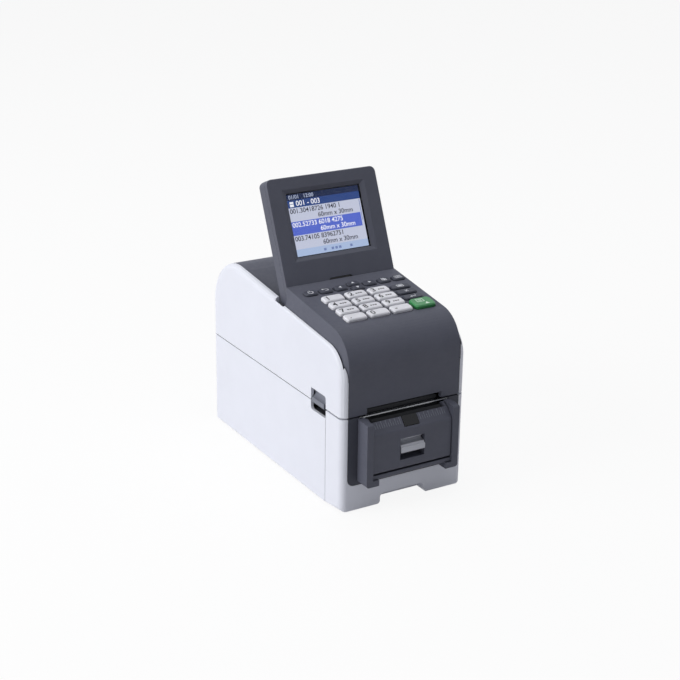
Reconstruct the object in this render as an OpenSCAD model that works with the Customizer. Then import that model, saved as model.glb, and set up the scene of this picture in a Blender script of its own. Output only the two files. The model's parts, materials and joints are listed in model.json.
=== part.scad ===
// Desktop label printer with a folding colour display, a keypad and a label peeler.
// Origin: middle of the whole footprint, on the table. Front is -Y, up is +Z.

/* [Body] */
// Width over the white side panels
body_w = 110; // [107:1:116]
// Depth of the body without the peeler
body_d = 211; // [209:1:216]
// Height of the joint between the base and the upper cover
seam_z = 77.5; // [76.5:0.5:79]
// Wall of the casing parts
wall = 2.5; // [2.2:0.1:2.6]
// Radius of the two vertical front corners
front_corner_r = 5.5; // [5:0.5:6]
// Radius of the two vertical rear corners
rear_corner_r = 5; // [4:0.5:6]
// Gap at the joint between the base and the cover
seam_gap = 0.6; // [0.4:0.1:0.7]
// Gap between fixed casing parts that lie side by side
part_gap = 0.4; // [0.3:0.05:0.5]
// Clearance between parts that move past each other
run_gap = 0.4; // [0.35:0.05:0.5]
// Radial clearance of a shaft in its bore
bore_gap = 0.05; // [0.03:0.01:0.08]

/* [Upper cover] */
// Height at which the keypad plane would meet the front
front_top_z = 138.5; // [137.5:0.5:140]
// Slope of the keypad plane in degrees
key_slope = 7.9; // [7.5:0.1:8.3]
// Radius between the front and the keypad plane
brow_r = 27; // [25:1:29]
// Height at which the side panels' top line would meet the front
panel_front_z = 128.3; // [127.5:0.1:129]
// Slope of the side panels' top line in degrees
panel_slope = 6.2; // [6:0.1:6.4]
// How much higher the side panels stand behind the display
rear_rise = 1.4; // [1:0.1:1.6]
// Radius between the top and the rear wall
rear_r = 40; // [37:1:42]
// Radius of the rolled edge at the cover's hinge
hinge_r = 3.5; // [3.4:0.1:3.8]
// Radius of the cover's hinge pins
hinge_pin_r = 1.5; // [1.2:0.1:1.7]
// Width of the label outlet
outlet_w = 65; // [62:1:68]
// Height of the label outlet above the joint
outlet_h = 4.8; // [4.5:0.1:6]

/* [Display] */
// How far each end of the display panel stands in from the body's side
display_inset = 6; // [6:0.5:7.5]
// Length of the display panel above its hinge
display_h = 92; // [90:1:96]
// Thickness of the display panel
display_t = 13; // [12.6:0.2:13.4]
// Lean of the display behind the vertical in degrees
display_lean = 23.3; // [21:0.1:25]
// Distance from the front to the display's hinge
display_at = 97.6; // [97:0.2:98.4]
// Depth of the display's hinge under the keypad plane
display_drop = 10.5; // [10.3:0.1:10.9]
// Width of the picture
screen_w = 66.4; // [62:0.2:70]
// Height of the picture
screen_h = 50.2; // [46:0.2:52]

/* [Keys] */
// Travel of a key
key_travel = 1.2; // [0.8:0.1:1.3]
// Width of a number key
number_key_w = 17.6; // [16:0.2:18]
// Depth of a number key
number_key_d = 8.8; // [8:0.2:9]
// Distance from one number key to the next across the pad
number_pitch_x = 20.3; // [20:0.1:20.6]
// Distance from one row of number keys to the next
number_pitch_u = 10.9; // [10.7:0.1:11]
// Width of a key in the upper row
menu_key_w = 11; // [10:0.2:11.2]
// Depth of a key in the upper row
menu_key_d = 7.4; // [6.8:0.2:7.8]

/* [Paper path] */
// Largest label roll radius that the tray takes
roll_r = 63.5; // [61:0.5:63.5]
// Radius of the platen
platen_r = 6; // [5.6:0.1:6]
// Half the width of the widest label between the guides
label_half_w = 31.5; // [29:0.5:32]
// Travel of each roll guide
guide_travel = 19; // [15:1:19]

/* [Peeler] */
// How far the peeler stands in front of the body
peeler_d = 14; // [13.5:0.5:15]
// Width over the peeler's columns
peeler_w = 82; // [80:0.2:84]
// Height of the peeler's top
peeler_top_z = 75; // [74.6:0.2:75.4]
// Height of the peeler's feet above the table
peeler_foot_z = 24.3; // [23.9:0.2:25.5]

/* [Hidden] */
$fn = 64;
// Angle of one flat on a computed arc
arc_step = 6;
// Overlap that keeps cuts clear of coincident faces
eps = 0.05;
// Larger than the whole object
big = 400;

// ---- places shared by many parts ----
half_w = body_w / 2;
rear_y = (body_d + peeler_d) / 2;
front_y = rear_y - body_d;
peeler_y = front_y - peeler_d;
foot_h = 1.2;
shell_z = foot_h;
floor_t = 2.5;
floor_top = shell_z + floor_t;
front_rim_z = seam_z - 0.7;
inner_half = half_w - wall;
inset_half = half_w - front_corner_r;
core_half = inset_half - part_gap;
core_inner = core_half - wall;
split_y = front_y + 23.5;
inset_foot_z = 21.6;
base_foot_r = 5.2;
inset_r = 6;
cover_z = seam_z + seam_gap;
hinge_y = rear_y - hinge_r;
hinge_z = cover_z + hinge_r;
ear_r = hinge_r - run_gap;
ear_x = half_w - 19;
ear_w = 6;
knuckle_w = 2.6;

// Screw bosses, feet and board posts of the bottom plate
boss_x = half_w - 11;
boss_r = 4;
boss_y = [split_y + 12, rear_y - 12];
feet_y = [split_y + 26, rear_y - 26];
post_x = half_w - 19;
post_y = [rear_y - 40, rear_y - 18];

// Side panels
rim_front = 2.5;
rim_rear = 5;
panel_brow_r = 23.5;
flank_half = inner_half - part_gap;
flank_t = 4;
// How far the flanks' outer edge draws back from the front
flank_set_back = 5;

// Display
display_w = body_w - 2 * display_inset;
display_y = front_y + display_at;
display_z = front_top_z + display_at * tan(key_slope) - display_drop;
barrel_r = display_t / 2;
display_fold_deg = 55;
fold_angle = 90 - display_lean - display_fold_deg;
trough_r = barrel_r + run_gap + 0.1;
trough_t = 2;
step_y = display_y + 7.4;
lug_x = half_w - 17;
lug_w = 5;
lug_r = 5;
lug_pin_r = 2;
lug_neck = 3;
bezel_t = 4;
screen_sink = 2;
bezel_slope = 4.2;
screen_low = 29.1;

// Keys on the sloping plane: u runs up the slope from the front, w stands on it
key_rise = 2.6;
low_key_rise = 1.6;
key_wall = wall;
key_gap = 0.35;
key_lip = 0.45;
lip_t = 1.2;
lip_extra = 2 * (key_gap + key_lip) - 0.3;
lip_room = lip_t + key_travel + 0.6;
mat_t = 1.6;
mat_depth = key_wall + 0.3 + lip_t + key_travel + 1.3;
dome_h = 1.2;
number_x = -26.6;
number_u = 63.1;
menu_x = -37.6;
menu_pitch = 13.2;
menu_u = 78.5;
arrow_key_d = 6;
arrow_u = [81.9, 74.3];
side_x = 34.5;
side_u = 64.1;
side_pitch = 9.35;
side_key_w = 17;
side_key_d = 6.5;
print_u = 32.3;
print_key_w = 18.4;
print_key_d = 12.6;
rib_u = (number_u + number_key_d / 2 + arrow_u[1] - arrow_key_d / 2) / 2;

// Paper path
tray_r = roll_r + 1.5;
tray_t = 2;
tray_half = inner_half - 4.5;
tray_inner = tray_half - tray_t;
roll_y = rear_y - 9 - tray_r;
roll_z = seam_z - 2;
tray_top = seam_z - 0.7;
platen_y = front_y + 8.3;
platen_z = seam_z - 8.3;
platen_half = 32;
platen_shaft_r = 2.5;
deck_top = seam_z - 3.3;
deck_t = 2;
deck_y = platen_y + platen_r - 0.2;
head_low = platen_z + platen_r + 0.3;
head_y = front_y + 4.9;
head_d = 19;
head_top = seam_z + 8.8;

// Gear train on the left side of the tray
gear_m = 0.5;
gear_x = tray_half + run_gap;
gear_t = inner_half - 1.5 - gear_x;
gear_slack = 0.16;
platen_teeth = 18;
idler_teeth = 44;
motor_teeth = 16;
axle_r = 1.5;
idler_turn = -56.6;
motor_turn = -36.9;
idler_reach = (platen_teeth + idler_teeth) * gear_m / 2;
motor_reach = (idler_teeth + motor_teeth) * gear_m / 2;
idler_y = platen_y + idler_reach * cos(idler_turn);
idler_z = platen_z + idler_reach * sin(idler_turn);
motor_y = idler_y + motor_reach * cos(motor_turn);
motor_z = idler_z + motor_reach * sin(motor_turn);
motor_r = 17.5;
motor_l = 21.6;
// Turn of each gear at which its teeth stand in its neighbour's gaps
idler_phase = idler_turn + 180;
platen_phase = idler_turn - 180 / platen_teeth;
motor_phase = motor_turn + 180
    - (0.5 - (motor_turn - idler_phase) * idler_teeth / 360) * 360 / motor_teeth;

// Rack and pinion of the roll guides
rack_m = 1;
rack_teeth = 12;
rack_r = rack_m * rack_teeth / 2;
rack_t = 2.4;
rack_z = floor_top + 0.7;
rack_bar = 2.2;
rack_root = 1.2;
pinion_y = roll_y - 22;
guide_t = 3;
rack_reach = 5;

// Release in the cover
release_y = front_y + 48.5;
release_z = seam_z + 10.5;
release_r = 2.5;
release_play = 0.5;
release_boss_r = release_r + 1.8;
window_y0 = split_y;
window_y1 = split_y + 22.1;
window_low = seam_z - 7.5;
window_high = seam_z + 10.2;
window_r = 2.5;
hook_x = tray_inner - 4.2;
hook_w = 2;

// Peeler
column_w = 5.6;
column_half = peeler_w / 2;
door_half = column_half - column_w - run_gap;
door_y = peeler_y + 1.5;
door_t = 2;
door_low = peeler_foot_z + 8.4;
door_r = 3;
pivot_y = door_y + door_r;
pivot_z = door_low + door_r;
door_break_z = peeler_top_z - 9.8;
door_top_y = door_y + 7;
door_top_z = peeler_top_z - 2;
cheek_t = 2;
roller_r = 2.85;
roller_y = front_y - 0.8;
roller_z = platen_z + 1;
roller_pin_r = 1.2;
roller_half = 31;
roller_ear_r = 4.4;
mouth_half = column_half - column_w + 0.6;
mouth_low = platen_z - 9;
grip_half = 10.8;
grip_low = door_low + 7.8;
grip_high = grip_low + 17.4;
grip_d = 9;
grip_t = 1.4;
lever_half = grip_half - run_gap;
lever_pin_r = 1.2;
lever_y = door_y + 5.4;
lever_z = grip_high - 2.4;
sensor_half = 6.4;

// Sockets in the rear wall: middle, width, foot and height of each opening
board_z = floor_top + 1.5;
board_t = 1.6;
board_top = board_z + board_t;
inlet_x = -33;
inlet_r = 4.2;
inlet_z = board_top + 5.5;
sockets = [[-10, 12, 11], [13, 16, 13.4], [34, 14, 7]];
// Foot and top of each socket's tongue, as shares of its height
tongues = [[0.46, 0.62], [0.74, 0.9], [0.72, 0.91]];

// ---- outlines ----
function arc(cx, cy, r, from, to) =
    let (n = max(2, ceil(abs(to - from) / arc_step)))
    [for (i = [0:n]) let (a = from + (to - from) * i / n) [cx + r * cos(a), cy + r * sin(a)]];

// Side view with an upright front, a round brow and a sloping top, moved in by front and top
function brow_outline(top_z, slope, r, end_y, low_z, front, top) =
    let (rr = r - top)
    let (cy = front_y + front + rr)
    let (line_z = top_z - top / cos(slope) + (cy - front_y) * tan(slope))
    concat(
        [[front_y + front, low_z]],
        arc(cy, line_z - rr / cos(slope), rr, 180, 90 + slope),
        [[end_y, top_z - top / cos(slope) + (end_y - front_y) * tan(slope)], [end_y, low_z]]
    );

// Side view of the rear: sloping top, round shoulder and upright wall, moved in by inset
function rear_outline(start_y, low_z, inset) =
    let (cy = rear_y - rear_r)
    let (line_z = panel_front_z + rear_rise + (cy - front_y) * tan(panel_slope))
    concat(
        [[start_y, low_z]],
        [[start_y, line_z + (start_y - cy) * tan(panel_slope) - inset / cos(panel_slope)]],
        arc(cy, line_z - rear_r / cos(panel_slope), rear_r - inset, 90 + panel_slope, 0),
        [[rear_y - inset, low_z]]
    );

// Plan of the base, moved in by inset
function base_plan(inset) =
    let (f = max(front_corner_r - inset, 0.5), r = max(rear_corner_r - inset, 0.5))
    let (x = half_w - inset, y0 = front_y + inset, y1 = rear_y - inset)
    concat(
        arc(-x + f, y0 + f, f, 180, 270),
        arc(x - f, y0 + f, f, 270, 360),
        arc(x - r, y1 - r, r, 0, 90),
        arc(-x + r, y1 - r, r, 90, 180)
    );

// Front view of a panel with two round lower corners
function apron_outline(half, low, high, r) = concat(
    arc(-half + r, low + r, r, 180, 270),
    arc(half - r, low + r, r, 270, 360),
    [[half, high], [-half, high]]
);

// One flank of an involute tooth, from the root to the tip when side is -1
function tooth_flank(rb, tip, root, half, side) =
    let (n = 4, roll = sqrt(tip * tip / (rb * rb) - 1))
    let (flank = [for (i = [0:n]) let (t = roll * i / n, a = half - t * 180 / PI + atan(t))
        [rb * sqrt(1 + t * t), a]])
    let (line = concat([[root, half]], flank))
    [for (i = [0:n + 1]) let (p = line[side < 0 ? i : n + 1 - i])
        [p[0] * cos(side * p[1]), p[0] * sin(side * p[1])]];

function turned(points, a) =
    [for (p = points) [p[0] * cos(a) - p[1] * sin(a), p[0] * sin(a) + p[1] * cos(a)]];

// Gear outline with a tooth on the first axis
function gear_outline(m, teeth, slack) =
    let (rp = m * teeth / 2, rb = rp * cos(20))
    let (half = 90 / teeth + 0.854 - slack * 45 / (PI * rp))
    let (tooth = concat(
        tooth_flank(rb, rp + 0.92 * m, min(rb - 0.02, rp - 1.2 * m), half, -1),
        tooth_flank(rb, rp + 0.92 * m, min(rb - 0.02, rp - 1.2 * m), half, 1)))
    [for (k = [0:teeth - 1], p = turned(tooth, 360 * k / teeth)) p];

// Point of the keypad plane in side view
function key_point(u, w) = [
    front_y + u * cos(key_slope) - w * sin(key_slope),
    front_top_z + u * sin(key_slope) + w * cos(key_slope)
];

// Height of the shallow bed under the folded display
function bed_z(y) = display_z + (y - display_y) * tan(fold_angle) - trough_r / cos(fold_angle);

// ---- building helpers ----
module across(x0, x1) {
    translate([x0, 0, 0])
        rotate([90, 0, 90])
            linear_extrude(x1 - x0)
                children();
}

module frontal(y0, y1) {
    translate([0, y1, 0])
        rotate([90, 0, 0])
            linear_extrude(y1 - y0)
                children();
}

module both_sides() {
    children();
    mirror([1, 0, 0])
        children();
}

module rod(x0, x1, y, z, r) {
    translate([x0, y, z])
        rotate([0, 90, 0])
            cylinder(h = x1 - x0, r = r);
}

module block(x0, x1, y0, y1, z0, z1) {
    translate([x0, y0, z0])
        cube([x1 - x0, y1 - y0, z1 - z0]);
}

module plan_block(inset, z0, z1) {
    translate([0, 0, z0])
        linear_extrude(z1 - z0)
            polygon(base_plan(inset));
}

module round_rect(w, d, r, flats = 64) {
    square([w - 2 * r, d], center = true);
    square([w, d - 2 * r], center = true);
    for (x = [-1, 1])
        for (y = [-1, 1])
            translate([x * (w / 2 - r), y * (d / 2 - r)])
                circle(r = r, $fn = flats);
}

// Places children on the keypad plane at x and u, with their Z along its normal
module on_keypad(x, u) {
    translate([x, front_y, front_top_z])
        rotate([key_slope, 0, 0])
            translate([0, u, 0])
                children();
}

// Places children in the display: Z runs up the panel from its hinge, the front faces -Y
module on_display() {
    translate([0, display_y, display_z])
        rotate([-display_lean, 0, 0])
            children();
}

// ---- base ----
module latch_window() {
    across(inner_half - 4, half_w + 1)
        polygon(concat(
            [[window_y0, window_low]],
            arc(window_y1 - window_r, window_low + window_r, window_r, 270, 360),
            [[window_y1, window_high]],
            arc(window_y0 + window_r, window_high - window_r, window_r, 90, 180)
        ));
}

module hinge_ear() {
    difference() {
        union() {
            rod(ear_x, ear_x + ear_w, hinge_y, hinge_z, ear_r);
            block(ear_x, ear_x + ear_w, hinge_y - ear_r + 0.3, hinge_y + 1.4, seam_z - 18, hinge_z);
        }
        rod(ear_x - 1, ear_x + ear_w + 1, hinge_y, hinge_z, hinge_pin_r);
    }
}

module socket_holes(grow) {
    rear = [rear_y - wall - 1, rear_y + 1];
    translate([inlet_x, rear[0], inlet_z])
        rotate([-90, 0, 0])
            cylinder(h = rear[1] - rear[0], r = inlet_r + grow);
    for (s = sockets)
        block(s[0] - s[1] / 2 - grow, s[0] + s[1] / 2 + grow, rear[0], rear[1],
            board_top + 0.3 - grow, board_top + 0.3 + s[2] + grow);
}

module base_shell() {
    rib_first = split_y + 34;
    rib_gap = 32;
    color("#e9ebf1")
        difference() {
            union() {
                difference() {
                    plan_block(0, shell_z, seam_z);
                    plan_block(wall, shell_z - 1, seam_z + 1);
                }
                both_sides() {
                    hinge_ear();
                    for (i = [0:4])
                        block(tray_half + part_gap, inner_half + eps, rib_first + i * rib_gap,
                            rib_first + i * rib_gap + 1.6, floor_top + 1, seam_z - 8);
                    block(ear_x - 6, ear_x + 12, rear_y - wall - 1.2, rear_y - 1, seam_z - 20, seam_z - 17);
                }
            }
            block(-big, big, -big, split_y + part_gap / 2, 0, big);
            both_sides()
                latch_window();
            socket_holes(part_gap);
            // Shallow panel around the sockets
            block(inlet_x - 8, sockets[2][0] + 10, rear_y - 0.6, rear_y + 1, board_top - 1.4, board_top + 17);
        }
}

// Pocket under the front edge, to lift the printer or lead a cable
module front_notch(grow) {
    notch_half = 20;
    notch_top = 9.5;
    notch_r = 3.5;
    foot_r = 2.6;
    frontal(front_y - 1 + grow, front_y + 12 + grow)
        polygon(concat(
            [[-notch_half - foot_r, 0]],
            [[notch_half + foot_r, 0]],
            arc(notch_half + foot_r, shell_z + foot_r, foot_r - grow, 270, 180),
            arc(notch_half - notch_r, notch_top - notch_r, notch_r + grow, 0, 90),
            arc(-notch_half + notch_r, notch_top - notch_r, notch_r + grow, 90, 180),
            arc(-notch_half - foot_r, shell_z + foot_r, foot_r - grow, 0, -90)
        ));
}

// Body whose lower corners are round in front and sharpen towards the split
module foot_corners() {
    split_r = 0.4;
    hull()
        for (p = [[front_y - 1, base_foot_r], [split_y, split_r]])
            frontal(p[0], p[0] + 0.02)
                polygon(apron_outline(half_w, shell_z, seam_z + 1, p[1]));
}

module front_cover() {
    tongue_top = 30;
    color("#e9ebf1")
        difference() {
            union() {
                intersection() {
                    difference() {
                        plan_block(0, shell_z, front_rim_z);
                        plan_block(wall, shell_z - 1, seam_z + 1);
                    }
                    block(-big, big, -big, split_y - part_gap / 2, 0, big);
                    foot_corners();
                }
                difference() {
                    front_notch(1.8);
                    block(-big, big, -big, front_y + 1, 0, big);
                    block(-big, big, -big, big, -1, shell_z);
                }
                // Tongues that reach behind the main shell
                both_sides()
                    block(inner_half - 1.8, inner_half - 0.3, split_y - 8, split_y + 5, floor_top + 1, tongue_top);
                both_sides()
                    block(inner_half - 1.8, inner_half + eps, split_y - 8, split_y - 5, floor_top + 1, tongue_top);
            }
            front_notch(0);
            frontal(front_y - 1, front_y + wall + 1)
                polygon(apron_outline(inset_half, inset_foot_z, big, inset_r));
        }
}

module front_inset() {
    lip = 2.6;
    color("#3d3d47")
        difference() {
            union() {
                frontal(front_y, front_y + wall)
                    polygon(apron_outline(inset_half - part_gap, inset_foot_z + part_gap, front_rim_z,
                        inset_r - part_gap));
                frontal(front_y + wall - eps, front_y + wall + 2)
                    polygon(apron_outline(inset_half - part_gap - 1, inset_foot_z + 1, mouth_low - 3, inset_r - 1));
                // Lip that hooks behind the white band
                frontal(front_y + wall + 0.2, front_y + wall + 2)
                    polygon(apron_outline(inset_half + 1, inset_foot_z - lip, inset_foot_z + 12, inset_r));
            }
            block(-mouth_half, mouth_half, front_y - 1, front_y + wall + 3, mouth_low, big);
            // Rests for the ends of the tear bar
            block(-mouth_half - 4, mouth_half + 4, front_y - 1, front_y + wall + 3, deck_top + 1, big);
            // Openings for the springs of the peeler's latch
            for (x = [-26, 22])
                block(x, x + 4, front_y - 1, front_y + wall + 3, door_low + 18, door_low + 24);
        }
}

module bottom_plate() {
    plate_gap = wall + part_gap;
    vent_l = 34;
    rail_t = 1.2;
    rail_end = boss_x + 2;
    inner_rail = rack_r - rail_t / 2 - 0.1;
    outer_rail = rack_r + rack_root + rack_bar + run_gap + rail_t / 2;
    color("#34353b")
        difference() {
            union() {
                intersection() {
                    plan_block(plate_gap, shell_z, floor_top);
                    block(-big, big, front_y + 14.6, big, 0, big);
                }
                // Saddle ribs under the roll tray
                for (x = [-38, -24, 24, 38])
                    difference() {
                        block(x - 1, x + 1, pinion_y + 14, roll_y + 16, floor_top - eps, roll_z - tray_r);
                        rod(x - 2, x + 2, roll_y, roll_z, tray_r + tray_t + 0.25);
                    }
                // Guide rails of the racks and the pinion's axle
                for (side = [-1, 1])
                    for (off = [inner_rail, outer_rail])
                        block(side < 0 ? -rail_end : 12, side < 0 ? -12 : rail_end,
                            pinion_y + side * off - rail_t / 2, pinion_y + side * off + rail_t / 2,
                            floor_top - eps, floor_top + (off < rack_r ? 0.6 : 2.2));
                translate([0, pinion_y, floor_top - eps])
                    cylinder(h = 4.2, r = axle_r);
                translate([0, pinion_y, floor_top - eps])
                    cylinder(h = 0.6, r = 3);
                both_sides()
                    for (y = boss_y)
                        translate([boss_x, y, floor_top - eps])
                            cylinder(h = 3, r = boss_r);
                // Posts of the circuit board
                both_sides()
                    for (y = post_y)
                        translate([post_x, y, floor_top - eps])
                            cylinder(h = board_z - floor_top, r = 2.5);
            }
            both_sides()
                for (y = boss_y) {
                    translate([boss_x, y, 0])
                        cylinder(h = 20, r = 1.7);
                    translate([boss_x, y, 0])
                        cylinder(h = shell_z + 1.4, r = 3.4);
                }
            // Seats of the rubber feet
            both_sides()
                for (y = feet_y)
                    translate([boss_x, y, 0])
                        cylinder(h = shell_z + 0.9, r = 6.2);
            // Cooling slots
            for (i = [0:6])
                translate([0, rear_y - 72 + i * 6, shell_z - 1])
                    linear_extrude(floor_t + 2)
                        round_rect(vent_l, 2.6, 1.2);
            for (i = [0:4])
                translate([0, front_y + 26 + i * 6, shell_z - 1])
                    linear_extrude(floor_t + 2)
                        round_rect(vent_l, 2.6, 1.2);
        }
}

module rubber_feet() {
    color("#232427")
        both_sides()
            for (y = feet_y)
                translate([boss_x, y, 0]) {
                    cylinder(h = foot_h, r = 5.4);
                    translate([0, 0, foot_h - 0.3])
                        cylinder(h = 1.2, r = 6);
                }
}

// Trough that carries the label roll, with the cheeks of the printing unit in front
module roll_tray() {
    mouth_y = roll_y - tray_r;
    front_end = front_y + 4;
    hook_slot = [release_y - 8.5, release_y + 5.5];
    color("#3a3b42")
        difference() {
            union() {
                difference() {
                    across(-tray_half, tray_half)
                        polygon(concat(
                            arc(roll_y, roll_z, tray_r + tray_t, 180, 360),
                            [[roll_y + tray_r + tray_t, tray_top], [front_end, tray_top],
                            [front_end, platen_z - 4], [deck_y, platen_z - 6], [deck_y, deck_top - deck_t],
                            [mouth_y - tray_t, deck_top - deck_t]]
                        ));
                    across(-tray_inner, tray_inner)
                        polygon(concat(
                            arc(roll_y, roll_z, tray_r, 181.1, 360),
                            [[roll_y + tray_r, big], [front_end - 1, big],
                            [front_end - 1, platen_z - 20], [deck_y, platen_z - 20], [deck_y, deck_top]]
                        ));
                }
                // Ribs that lead the label to the platen
                for (i = [-4:4])
                    block(i * 7 - 0.6, i * 7 + 0.6, deck_y + 1, mouth_y - 2, deck_top - eps, deck_top + 0.5);
                // Plate of the motor and the gears
                across(-tray_half, -tray_inner)
                    polygon(concat(
                        [[mouth_y - tray_t, deck_top - deck_t], [front_end + 1, deck_top - deck_t],
                        [front_end + 1, idler_z - 6]],
                        arc(motor_y, motor_z, motor_r + 2, 215, 360),
                        [[mouth_y - tray_t, motor_z + 12]]
                    ));
                rod(-tray_half - gear_t - run_gap, -tray_half + eps, idler_y, idler_z, axle_r);
                // Walls and floors of the finger pockets behind the latch windows
                both_sides() {
                    block(tray_inner, tray_half, window_y0 + 0.6, window_y1, window_low - 1.3, tray_top - 1);
                    block(tray_half - eps, inner_half - part_gap, window_y0 + 0.6, window_y1,
                        window_low - 1.3, window_low);
                }
            }
            // Bearings of the platen, open in front of the shaft's seat only
            rod(-tray_half - 1, tray_half + 1, platen_y, platen_z, platen_shaft_r + bore_gap);
            rod(-tray_half - 1, -tray_inner + 1, motor_y, motor_z, 4.5);
            // Slots of the roll guides' feet
            block(-label_half_w - guide_t - 1, -label_half_w + guide_travel + 1,
                pinion_y - rack_r - 1.7 - rack_bar, pinion_y - rack_r - 0.7, 0, roll_z - 30);
            block(label_half_w - guide_travel - 1, label_half_w + guide_t + 1,
                pinion_y + rack_r + 0.7, pinion_y + rack_r + 1.7 + rack_bar, 0, roll_z - 30);
            // Slots in the deck for the cover's hooks
            both_sides()
                block(hook_x - 0.5, tray_inner - 0.5, hook_slot[0], hook_slot[1], deck_top - 5, deck_top + 1);
            // Window of the label sensor under the deck
            block(-9, 9, release_y - 18, release_y - 12, deck_top - 5, deck_top + 1);
        }
}

module power_inlet() {
    depth = 12;
    color("#26272b")
        difference() {
            union() {
                translate([inlet_x, rear_y - 0.9, inlet_z])
                    rotate([90, 0, 0])
                        cylinder(h = depth, r = inlet_r);
                block(inlet_x - 4.5, inlet_x + 4.5, rear_y - depth - 1, rear_y - wall - 0.4,
                    board_top + 0.05, inlet_z + 4.5);
            }
            translate([inlet_x, rear_y, inlet_z])
                rotate([90, 0, 0])
                    cylinder(h = depth - 2, r = 3.2);
        }
    color("#c9c9c4")
        translate([inlet_x, rear_y - 2.2, inlet_z])
            rotate([90, 0, 0])
                cylinder(h = depth - 2, r = 1);
}

module data_sockets() {
    depth = [15, 17, 13];
    rim = 0.7;
    color("#b9bbbe")
        for (i = [0:2])
            let (s = sockets[i], x0 = s[0] - s[1] / 2, z0 = board_top + 0.3)
                difference() {
                    union() {
                        block(x0, x0 + s[1], rear_y - depth[i], rear_y - 0.9, z0, z0 + s[2]);
                        block(x0 + 1, x0 + s[1] - 1, rear_y - depth[i] + 1, rear_y - 5, board_top + 0.05, z0 + 1);
                    }
                    block(x0 + rim, x0 + s[1] - rim, rear_y - depth[i] + 3, rear_y, z0 + rim, z0 + s[2] - rim);
                }
    color("#1d1d1f")
        for (i = [0:2])
            let (s = sockets[i], z0 = board_top + 0.3)
                block(s[0] - s[1] / 4, s[0] + s[1] / 4, rear_y - depth[i] + 2.9, rear_y - 3,
                    z0 + s[2] * tongues[i][0], z0 + s[2] * tongues[i][1]);
}

module main_board() {
    x1 = half_w - 13;
    y1 = rear_y - wall - 2.2;
    y0 = y1 - 41.3;
    color("#1f5a3c")
        difference() {
            block(-x1, x1, y0, y1, board_z, board_top);
            both_sides() {
                for (y = post_y)
                    translate([post_x, y, 0])
                        cylinder(h = 20, r = 1.4);
                // Notches round the rear screw bosses
                translate([boss_x, boss_y[1], 0])
                    cylinder(h = 20, r = boss_r + part_gap);
            }
        }
    color("#202124") {
        block(-16, -4, y0 + 8, y0 + 20, board_top - eps, board_top + 1.4);
        block(8, 15, y0 + 4, y0 + 14, board_top - eps, board_top + 1.1);
        block(22, 30, y0 + 10, y0 + 22, board_top - eps, board_top + 2);
        for (i = [0:3])
            translate([-29 + i * 4.5, y0 + 20, board_top - eps])
                cylinder(h = 3.5, r = 1.8);
    }
}

module feed_motor() {
    x0 = -tray_inner + 0.15;
    color("#8d9095") {
        rod(x0, x0 + motor_l, motor_y, motor_z, motor_r);
        rod(x0, x0 + 1, motor_y, motor_z, motor_r + 0.6);
        rod(-tray_half - gear_t - run_gap, x0 + 1, motor_y, motor_z, axle_r);
    }
    color("#e6e3d8")
        block(x0 + 6, x0 + motor_l - 4, motor_y - 7, motor_y + 7, motor_z - motor_r - 3, motor_z - motor_r + 2);
}

module gear_wheel(y, z, teeth, phase, bore, web) {
    rp = gear_m * teeth / 2;
    x0 = -gear_x - gear_t;
    difference() {
        across(x0, -gear_x)
            translate([y, z])
                rotate(phase)
                    polygon(gear_outline(gear_m, teeth, gear_slack));
        rod(x0 - 1, -gear_x + 1, y, z, bore);
        if (web > 0) {
            difference() {
                rod(x0 - 1, x0 + web, y, z, rp - 1.6);
                rod(x0 - 2, x0 + web + 1, y, z, bore + 1.8);
            }
            for (i = [0:5])
                translate([0, y, z])
                    rotate([i * 60, 0, 0])
                        rod(x0 - 1, -gear_x + 1, rp * 0.56, 0, rp * 0.17);
        }
    }
}

module motor_pinion() {
    color("#d8c9a0")
        gear_wheel(motor_y, motor_z, motor_teeth, motor_phase, axle_r + bore_gap, 0);
}

module idler_gear() {
    color("#ececea")
        gear_wheel(idler_y, idler_z, idler_teeth, idler_phase, axle_r + bore_gap, 1.3);
}

module platen_gear() {
    color("#ececea")
        gear_wheel(platen_y, platen_z, platen_teeth, platen_phase, platen_shaft_r, 0);
}

module platen_roller() {
    color("#9a9ca0")
        rod(-gear_x - gear_t, tray_half, platen_y, platen_z, platen_shaft_r);
    color("#2a2a2c")
        rod(-platen_half, platen_half, platen_y, platen_z, platen_r);
}

module cover_hinge_pin() {
    color("#b4b6ba")
        both_sides()
            rod(ear_x - knuckle_w - run_gap, ear_x + ear_w + knuckle_w + run_gap, hinge_y, hinge_z, hinge_pin_r);
}

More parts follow.
